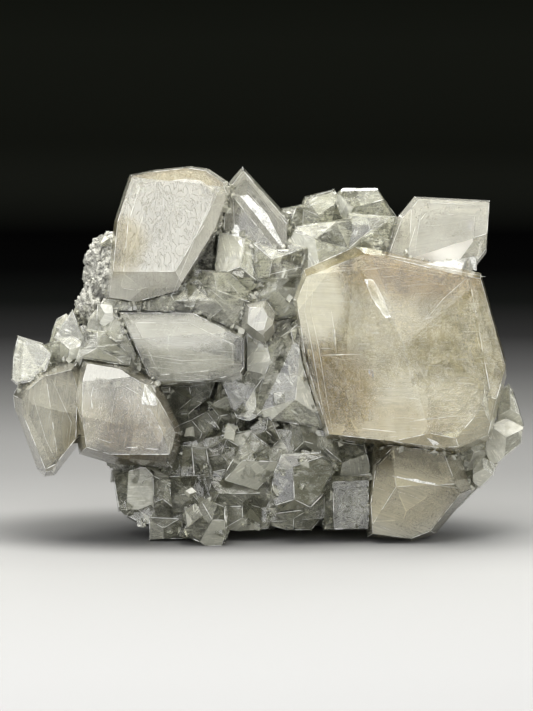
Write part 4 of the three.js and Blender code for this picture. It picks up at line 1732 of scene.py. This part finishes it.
@dataclass(frozen=True)
class Softbox:
    """One soft light: where it hangs in the row frame, what it faces, and how strong it is."""

    name: str
    place: Triple
    size: tuple[float, float]
    watts: float
    hex: str = "ffffff"
    spread: float = 160.0
    aim: Triple = (0.0, 0.0, 40.0)

    def build(self) -> None:
        """Hang it."""
        data = bpy.data.lights.new(self.name, "AREA")
        data.shape = "RECTANGLE"
        data.size, data.size_y = self.size[0] * MM, self.size[1] * MM
        data.energy = self.watts
        data.color = linear(self.hex)[:3]
        data.spread = math.radians(self.spread)
        lamp = bpy.data.objects.new(self.name, data)
        bpy.context.scene.collection.objects.link(lamp)
        lamp.location = Vector(self.place) * MM
        lamp.rotation_euler = (Vector(self.aim) * MM - lamp.location).to_track_quat("-Z", "Y").to_euler()
        lamp.visible_camera = False


@dataclass
class Studio:
    """The pale floor, the soft lights and the camera."""

    softboxes: tuple[Softbox, ...] = (
        Softbox("top_softbox", (-60, 20, 760), (1000, 800), 10.4, "fffdf8"),
        Softbox("front_softbox", (-380, -900, 570), (850, 750), 5.7, "fbfbff"),
        Softbox("low_front_fill", (0, -900, 130), (1500, 220), 2.2),
        Softbox("right_fill", (900, -300, 460), (700, 600), 3.4),
        Softbox("left_fill", (-900, 0, 460), (600, 600), 1.6),
        Softbox("back_fill", (150, 800, 500), (700, 500), 5.1),
    )
    camera_distance: float = 3000.0
    picture_px: tuple[int, int] = (533, 711)
    mm_per_px: float = 0.236
    aim: Triple = (-0.35, 41.65, 0.0)
    sensor: float = 36.0
    clip: tuple[float, float] = (100.0, 30000.0)
    floor_half: float = 20000.0
    room_hex: str = "6e706c"
    room_light: tuple[float, float] = (0.02, 1.0)  # at the horizon and above it
    dark_up_to: float = 0.06  # how high above the horizon the room stays dark, as a sine
    bounces: int = 14  # enough for light to come out again behind several crystals
    films_deep: int = 16  # how many films and veils light passes, one behind the other

    def floor(self) -> None:
        """Lay the pale sheet that the specimen stands on."""
        mesh = bpy.data.meshes.new("floor")
        half = self.floor_half * MM
        corners = [(-half, -half, 0), (half, -half, 0), (half, half, 0), (-half, half, 0)]
        mesh.from_pydata(corners, [], [(0, 1, 2, 3)])
        floor = bpy.data.objects.new("floor", mesh)
        bpy.context.scene.collection.objects.link(floor)
        mesh.materials.append(TableFinish().material())

    def camera(self) -> None:
        """Set the camera square to the display face."""
        data = bpy.data.cameras.new("camera")
        long_side = max(self.picture_px) * self.mm_per_px
        data.sensor_width = self.sensor
        data.lens = self.sensor * self.camera_distance / long_side
        data.clip_start, data.clip_end = (distance * MM for distance in self.clip)
        camera = bpy.data.objects.new("camera", data)
        bpy.context.scene.collection.objects.link(camera)
        x, v, w = self.aim
        camera.location = placed(x, v, w - self.camera_distance)
        camera.rotation_euler = (math.radians(90 - TIP_BACK), 0, 0)
        bpy.context.scene.camera = camera

    def room(self) -> None:
        """Set the dim light of the room."""
        world = bpy.data.worlds.new("dim_room")
        bpy.context.scene.world = world
        world.use_nodes = True
        tree = world.node_tree
        way = add_node(tree, "TexCoord").outputs["Generated"]
        height = add_node(tree, "SeparateXYZ", {0: way}).outputs["Z"]
        dark, full = self.room_light
        lit = add_node(
            tree, "MapRange",
            {"Value": height, "From Min": self.dark_up_to, "From Max": 2 * self.dark_up_to, "To Min": dark,
             "To Max": full}).outputs[0]
        background = tree.nodes["Background"]
        background.inputs["Color"].default_value = linear(self.room_hex)
        tree.links.new(lit, background.inputs["Strength"])

    def exposure(self) -> None:
        """Show tones plainly, and let light through enough crystal faces to come out again."""
        scene = bpy.context.scene
        scene.view_settings.view_transform = "Standard"
        scene.cycles.max_bounces = self.bounces
        scene.cycles.transmission_bounces = self.bounces
        scene.cycles.transparent_max_bounces = self.films_deep

    def build(self) -> None:
        """Set up everything around the specimen."""
        self.floor()
        self.camera()
        for softbox in self.softboxes:
            softbox.build()
        self.room()
        self.exposure()


# ----------------------------------------------------------------------------------------------------
# What this specimen shows


# Honey calcite is clear and warm, pale calcite is milkier, and the small grey-white crystals glitter.
HONEY = CalciteFinish(
    "honey_calcite_as_grown", haze=0.06, haze_hex="cdc7a9", inside=9.0, line=0.15, grain=0.3)
PALE = CalciteFinish("pale_calcite_as_grown", haze=0.24, inside=3.5, inside_hex="dcd3ae")
GREY = CalciteFinish(
    "clear_small_calcite", clear_hex="e8e8db", haze_hex="c9c8b9", haze=0.08, cloud=0.06, cloud_mm=6.0,
    facet=0.05, frosted=0.1, plane=0.12, plane_mm=(5.0, 9.0, 6.0), line=0.1, line_mm=(4.0, 4.0, 0.25),
    scratch=0.5, grain=0.13, wave=5.0, wave_mm=2.2, inside_hex="c2c2aa", inside=19.0)
CRYSTALS = {
    # The honey ones: glassy, with white hazes in places and amber where iron stained them.
    "big_crystal": replace(
        HONEY, name="big_honey_calcite", line_turn=(0, 1, 0), facet=0.03, clear_hex="f1eedb", inside=11.0,
        milky_and_painted_light_zones=(Zone(11, 55, 8, 0.5, flat=0.6), Zone(28, 19, 6, 0.3, flat=2.5),
                    Zone(40, 27, 8, 0.28, flat=1.6)),
        amber_zones=(Zone(36, 64, 6.5, 1.0, flat=2.3), Zone(13, 31, 9, 0.75),
                     Zone(28, 24, 5, 0.4, flat=2.6)), amber_hex="b2984a"),
    "lower_right_crystal": replace(
        HONEY, name="lower_right_honey_calcite", line_turn=(0, -18, 0), haze=0.06, amber=0.35,
        # Its haze zone low down is painted light on the lower face, which faces down.
        milky_and_painted_light_zones=(Zone(28, 3, 8, 0.38, flat=1.5),), amber_zones=(Zone(31, 12, 9, 0.8),)),
    "lower_left_crystal_pair": replace(
        HONEY, name="lower_left_honey_calcite", line_turn=(0, 82, 0), haze=0.05, amber=0.35,
        milky_and_painted_light_zones=(Zone(-28, 32, 4, 0.12), Zone(-49, 27, 8, 0.26)), amber_zones=(Zone(-38, 20, 8, 0.8),)),
    # The pale ones: milkier, and the upper left one has the winding lines of a dissolved face.
    "upper_left_crystal": replace(
        PALE, name="frosted_upper_left_calcite", line_turn=(0, 86, 0), haze=0.2, line=0.1, haze_hex="e4e1d4",
        # Its second haze zone is painted light on the lower facet, which faces down.
        milky_and_painted_light_zones=(Zone(-22, 72, 9, 0.24, w=-20), Zone(-27, 54, 7, 0.36, w=-20, flat=1.6)),
        amber_zones=(Zone(-36, 68, 5, 0.8, w=-20),), maze_zones=(Zone(-24, 72, 10, 1.0, w=-18),)),
    "upper_right_crystal": replace(
        PALE, name="upper_right_calcite", line_turn=(0, 10, 0), haze=0.25, line=0.1, haze_hex="e6e4d8"),
    "middle_crystal": replace(
        PALE, name="middle_calcite", line_turn=(0, -6, 0), haze=0.05, line=0.12, haze_hex="dedcd0",
        milky_and_painted_light_zones=(Zone(-22, 47, 3, 0.3, flat=3.5, w=-22),)),
    "spear_crystal": replace(PALE, name="spear_calcite", line_turn=(0, 60, 0), haze=0.06),
    "small_bright_crystal": replace(PALE, name="small_frosted_calcite", haze=0.5, line_turn=(0, 75, 0)),
    # The groups of small ones: striated, with more or fewer facets that are etched white; the top, left,
    # centre and right ones are made paler as painted light, and the crust low down darker as painted shade.
    "top_crystal_cluster": replace(
        GREY, name="painted_light_top_calcite", frosted=0.16, frost=0.35, scratch=0.65, haze_hex="e2e3da"),
    "left_crystal_cluster": replace(
        GREY, name="painted_light_left_calcite", haze=0.2, frosted=0.45, frost=0.5, scratch=0.65,
        haze_hex="e8e8df"),
    "centre_crystal_cluster": replace(
        GREY, name="centre_calcite", haze=0.12, frosted=0.3, scratch=0.65, haze_hex="e0dfd2"),
    "right_crystal_cluster": replace(
        GREY, name="right_calcite", haze=0.2, frosted=0.4, scratch=0.65, haze_hex="e3e1d4"),
    "brown_crystal_cluster": replace(
        GREY, name="brown_tinged_calcite", haze=0.12, frosted=0.2, haze_hex="d2cfbf"),
    "lower_crystal_crust": replace(
        GREY, name="shaded_crust_calcite", clear_hex="d9d9cb", haze_hex="bdbcab", scratch=0.4, inside=30.0),
}
FACETS = (
    FacetSkin("lower_left_crystal_pair", -37, 38, Skin.MATT_SHADED),
    FacetSkin("big_crystal", 28, 67, Skin.SMOKY), FacetSkin("big_crystal", 20, 66, Skin.SMOKY),
    FacetSkin("big_crystal", 34, 65.5, Skin.SMOKY), FacetSkin("big_crystal", 44, 63.5, Skin.SMOKY),
    FacetSkin("upper_left_crystal", -24, 83, Skin.SMOKY),
    FacetSkin("upper_right_crystal", 44, 64, Skin.ETCHED),
)

FILMS = {
    # Air in a crack mirrors, and its flash is painted as a white film with a little metallic sheen; a veil is
    # a white cloud; a stain is brown; inclusions are dark specks; and a crack that is only a film wide shows
    # colours.
    Film.FLASH: InnerFilmFinish(
        "air_in_cleavage_crack", "f8f8f4", 0.95, 0.3, patch_mm=3.0, flecked=0.45, sheen=0.3, roughness=0.3),
    Film.VEIL: InnerFilmFinish("fluid_inclusion_veil", "f1efe5", 0.55, patch_mm=3.0),
    Film.STAIN: InnerFilmFinish("iron_stained_film", "95834a", 0.72, patch_mm=3.0),
    Film.SHADE: InnerFilmFinish("dark_inclusion_film", "3a3832", 0.8, 0.2, patch_mm=1.0, flecked=0.6),
    Film.RAINBOW: InnerFilmFinish(
        "thin_film_in_crack", "a6bfea", 0.7, 0.2, patch_mm=0.9, flecked=0.2, sheen=0.3, roughness=0.3,
        film_nm=420.0, shade_hex="eeb27c"),
}
GROUPS = ("lower_crystal_crust", "centre_crystal_cluster", "top_crystal_cluster", "left_crystal_cluster",
          "brown_crystal_cluster", "right_crystal_cluster", "small_bright_crystal")
# A core is the milky inside that shows through the clear outer calcite, streaked along its growth.
CORE = InnerFilmFinish(
    "milky_core", "fbf9ee", 1.0, 0.6, patch_mm=6.0, fleck_mm=0.4, streaked=0.35, facet=0.2,
    streak_mm=(7.0, 7.0, 0.35), shade_hex="cfccb9")
SMALL_CORE = replace(
    CORE, name="small_core", hex="f1f0e2", cover=0.85, least_cover=0.0, patch_mm=2.5, facet=0.35,
    streak_mm=(3.0, 3.0, 0.3), shade_hex="bdbca8")
# The crust's core is darker, as painted shade low down under the crystals.
SHADED_CRUST_CORE = replace(SMALL_CORE, name="shaded_crust_core", hex="b9b8a5", cover=0.5, shade_hex="85866f")
CORES = {
    "others": CORE, **{name: SMALL_CORE for name in GROUPS},
    "lower_crystal_crust": SHADED_CRUST_CORE,
    "big_crystal": replace(
        CORE, name="milky_honey_core", hex="e6dec2", shade_hex="b8b08c", streak_turn=(0, 1, 0),
        streak_mm=(9.0, 9.0, 0.35), streaked=0.18, facet=0.0, stain_hex="b8a052",
        stains=(Zone(36, 64.5, 6, 0.9, flat=2.4, w=-22, deep=3.0), Zone(13, 31, 9, 0.6, deep=3.0),
                Zone(28, 24, 5, 0.3, flat=2.6, deep=3.0))),
    "lower_right_crystal": replace(
        CORE, name="smoky_honey_core", hex="e4decd", cover=0.9, least_cover=0.35, shade_hex="b6ae99",
        streak_turn=(0, -18, 0), stain_hex="978d72",
        stains=(Zone(31, 16, 4.5, 0.55, flat=1.6, w=-25, deep=3.0),)),
    "lower_left_crystal_pair": replace(
        CORE, name="streaked_honey_core", hex="a59f8b", shade_hex="787360", least_cover=0.5,
        streak_turn=(0, 82, 0), stain_hex="a08a66", stains=(Zone(-30, 25, 6, 0.55, flat=1.2, deep=3.0),)),
    "middle_crystal": replace(
        CORE, name="streaked_pale_core", hex="cdcdc0", shade_hex="989888", streak_turn=(0, -6, 0),
        streaked=0.24, least_cover=0.62),
    "spear_crystal": replace(
        CORE, name="spear_core", hex="e4e3d6", shade_hex="807e6e", cover=0.8, least_cover=0.1, facet=0.5,
        streak_turn=(0, 60, 0)),
    "upper_left_crystal": replace(CORE, name="upper_left_core", streak_turn=(0, 86, 0)),
}
PHANTOM_RIM = InnerFilmFinish("inclusions_on_an_old_edge", "fbfaf4", 0.8, patch_mm=2.0)
PHANTOMS = {
    "big_crystal": (0.8, 3.6), "upper_left_crystal": (0.8, 3.0), "upper_right_crystal": (0.8, 3.0),
    "middle_crystal": (0.5, 2.4), "lower_right_crystal": (0.7, 3.4), "lower_left_crystal_pair": (0.7, 3.0),
    "spear_crystal": (0.9, 2.4), **{name: (0.8,) for name in GROUPS},
}

FLAKES = (
    painted_flash_chip((22.5, 59.5), (24.5, 59.3), (26.5, 56), (28.7, 50.6), (27.5, 50.3), (24, 55.5)),
    crack(12.5, 41.7, 22, 42),
    crack(14.8, 52, 16, 42, 0.35),
    crack(22, 24.6, 30, 23.8, 0.4),
    crack(34, 26.5, 39, 27.2),
    crack(12.2, 58, 9.5, 50, 0.4),
    crack(38, 62.5, 51, 60),
    painted_flash_chip((37, 22.5), (40, 21.2), (42, 19.5), (39, 20.3)),
    painted_flash_chip((42, 23), (44, 21.5), (46, 19), (43.5, 20.5)),
    painted_flash_chip((50.5, 34), (52.2, 25), (50, 30)),
    painted_flash_chip((-6.6, 79.2), (-4.8, 79.4), (-0.3, 75), (3.7, 67.2), (3, 67.2), (-1.5, 73)),
    painted_flash_chip((-7.8, 72.5), (-7, 72.3), (-5.9, 67), (-8.5, 70)),
    painted_flash_chip((36.4, 63.0), (49, 61.6), (49.5, 65), (40, 63.8)),
    painted_flash_chip((-28.8, 35), (-26.5, 34.7), (-26, 30), (-29.6, 30.2)),
    painted_flash_chip((-14, 35.4), (-6.2, 35.9), (-6, 38.6), (-8, 37.4), (-12, 36.6)),
    Flake(Film.VEIL, ((4, 46), (7.5, 45), (6.8, 36), (5.2, 35)), 0.3),
    painted_flash_chip((-20, 55), (-17, 54.6), (-17.4, 53.1), (-19.6, 53.2)),
    painted_flash_chip((29, 13.5), (35, 12), (45, 10.5), (35, 12.6)),
    Flake(Film.VEIL, ((9, 62), (21, 63), (24, 56), (19, 48), (10, 50)), 1.5, (0.3, -0.2)),
    Flake(Film.VEIL, ((36, 54), (44, 62), (49, 56), (48, 38), (40, 36)), 3.0, (-0.2, 0.1)),
    Flake(Film.VEIL, ((18, 36), (30, 40), (34, 24), (20, 22)), 4.0, (0.2, 0.3)),
    Flake(Film.STAIN, ((11.5, 46), (19, 42), (21, 23), (14, 23)), 1.5),
    Flake(Film.STAIN, ((24, 65), (44, 62), (42, 56), (28, 56)), 1.2, (0.0, -0.3)),
    Flake(Film.STAIN, ((13, 36), (20, 33), (24, 24), (15, 23)), 0.6),
    Flake(Film.RAINBOW, ((23.4, 38.6), (24.6, 38.2), (24.9, 36.6), (23.7, 36.4)), 0.3),
    Flake(Film.RAINBOW, ((47.0, 73.6), (48.4, 73.0), (48.8, 71.2), (47.2, 71.4)), 0.25),
    Flake(Film.SHADE, ((36.2, 17.1), (37.3, 17.0), (37.4, 16.1), (36.3, 15.9)), 0.8),
)
LINES = (  # the width of each thread in millimetres, and the places (x, v) that it runs through
    (0.22, (9.4, 59.5), (8.6, 52), (10.2, 44), (12.6, 30), (14.6, 21.5)),
    (0.16, (10.6, 58.5), (10.0, 52), (11.8, 44), (14.0, 30), (15.2, 23.5)), (0.3, (12.5, 41.7), (22, 42)),
    (0.3, (14.8, 52), (15.6, 47), (16, 42)), (0.35, (22, 24.6), (30, 23.8)), (0.25, (34, 26.5), (39, 27.2)),
    (0.2, (33, 26.2), (44, 27.6)), (0.3, (15.5, 21.6), (28, 19.6), (42, 17.6)),
    (0.25, (38, 62.5), (51, 60.2)), (0.2, (24.5, 65.8), (38, 63.2)),
    (0.25, (36.8, 50.0), (41, 55), (49, 62)), (0.25, (37.5, 51.5), (36.6, 50.2), (38.4, 50.6)),
    (0.25, (-34, 83.5), (-28, 84.4), (-20, 84.5), (-12, 81)), (0.2, (-36.5, 81), (-39, 70), (-40.8, 57)),
    (0.2, (-34.6, 79.5), (-24, 80.5), (-14, 79)), (0.15, (-32.5, 79), (-33, 70), (-34.8, 60)),
    (0.25, (-13, 78.8), (-20, 62), (-24, 52)), (0.25, (-34.5, 54), (-31, 55.8), (-28.5, 58.5)),
    (0.2, (-33.5, 53), (-29.6, 55), (-27.6, 57.6)), (0.22, (-8.3, 80.2), (-7.9, 72), (-7.0, 66)),
    (0.3, (-4.8, 80.2), (-0.3, 75), (3.7, 67.2)), (0.25, (-34, 52), (-17, 52), (-5.4, 46.4)),
    (0.25, (-27, 33), (-13, 35.4), (-6.6, 36)), (0.2, (-33, 47), (-20, 47.4), (-8, 46)),
    (0.18, (-30, 42), (-20, 40.4), (-12, 40.8)), (0.22, (-43.3, 40.7), (-31.8, 38.6), (-30.6, 36.9)),
    (0.18, (-43.5, 35.8), (-30.6, 36.9)), (0.2, (-26, 32), (-22, 25), (-20.5, 18.5)),
    (0.22, (-44, 16), (-30, 13), (-21, 14)), (0.2, (-55, 32), (-52, 22), (-48, 14)),
    (0.18, (-50.5, 36), (-46, 26), (-47, 18)), (0.25, (22.6, 16.6), (30, 16.2), (43, 14)),
    (0.3, (29, 13.5), (35, 12), (45, 10.5)), (0.18, (19, 14), (21, 6), (23, 1.5)),
    (0.25, (37.5, 77.6), (49, 77)), (0.2, (36, 76), (34.5, 66)), (0.2, (36.5, 63), (49, 61.5)),
    (0.25, (-14, 57.5), (-10, 54.3)), (0.25, (-9.8, 59.7), (-6, 55)), (0.25, (-4.8, 65.3), (-2.5, 59.5)),
    (0.25, (-2.5, 60), (8, 62.5)), (0.25, (-1.5, 59), (3, 50)),
)
BRUSHED = (
    ("big_crystal", 1, 110), ("upper_left_crystal", 88, 26), ("middle_crystal", -6, 60),
    ("lower_left_crystal_pair", 82, 40), ("lower_right_crystal", -20, 18), ("upper_right_crystal", 4, 12),
    ("spear_crystal", -60, 10),
)
SPOTS = (
    Spot(-8.8, 23.7, 2.6, 0.4), Spot(-17.6, 4.3, 3.0, 0.4), Spot(-18.2, 9.5, 1.8, 0.3),
    Spot(-18.2, 23.6, 2.2, 0.3), Spot(-38.5, 68.5, 2.2, 0.2),
)
OVERGROWN = {
    "lower_crystal_crust": 300, "centre_crystal_cluster": 40, "left_crystal_cluster": 24,
    "brown_crystal_cluster": 36, "right_crystal_cluster": 18,
}
# The worn edges, the bruised ridges and the growth lines are one white calcite, partly chipped and partly a
# painted highlight, and its chips are finer on the last two.
EDGE = WornEdgeAndHighlightFinish()
RIDGE = WornEdgeAndHighlightFinish("bruised_ridge_painted_highlight", patch_mm=1.2)
GROWTH_LINE = WornEdgeAndHighlightFinish("growth_line_painted_highlight", patch_mm=1.5)
# Rhombs in the seams are mostly white and differ much; the young ones are nearly as clear as their groups.
SEAM = replace(GREY, name="seam_calcite", haze=0.42, facet=0.3)
YOUNG = replace(GREY, name="overgrown_calcite", haze=0.12, frosted=0.06, facet=0.12)


def main() -> None:
    """Build the scene."""
    Studio().build()
    slots = {Habit.HONEY.value: HONEY, Habit.PALE.value: PALE, Habit.GREY.value: GREY}
    crystals = CalciteCrystals(CRYSTALS, slots, EDGE, FACETS)
    crystals.build()
    InnerGrowth(PHANTOMS, CORES, PHANTOM_RIM, GROUPS).build()
    InnerFlakes(FLAKES, FILMS, crystals).build()
    EdgeBeads(crystals, RIDGE).build()
    threads = tuple(Thread(tuple(places), width) for width, *places in LINES)
    FaceThreads(threads, BRUSHED, GROWTH_LINE).build()
    SeamCrystals(SEAM, SPOTS).build()
    Overgrowth(YOUNG, OVERGROWN).build()
    MarcasiteCrust(crystals, MarcasiteFinish("granular_marcasite")).build()


if __name__ == "__main__":
    main()
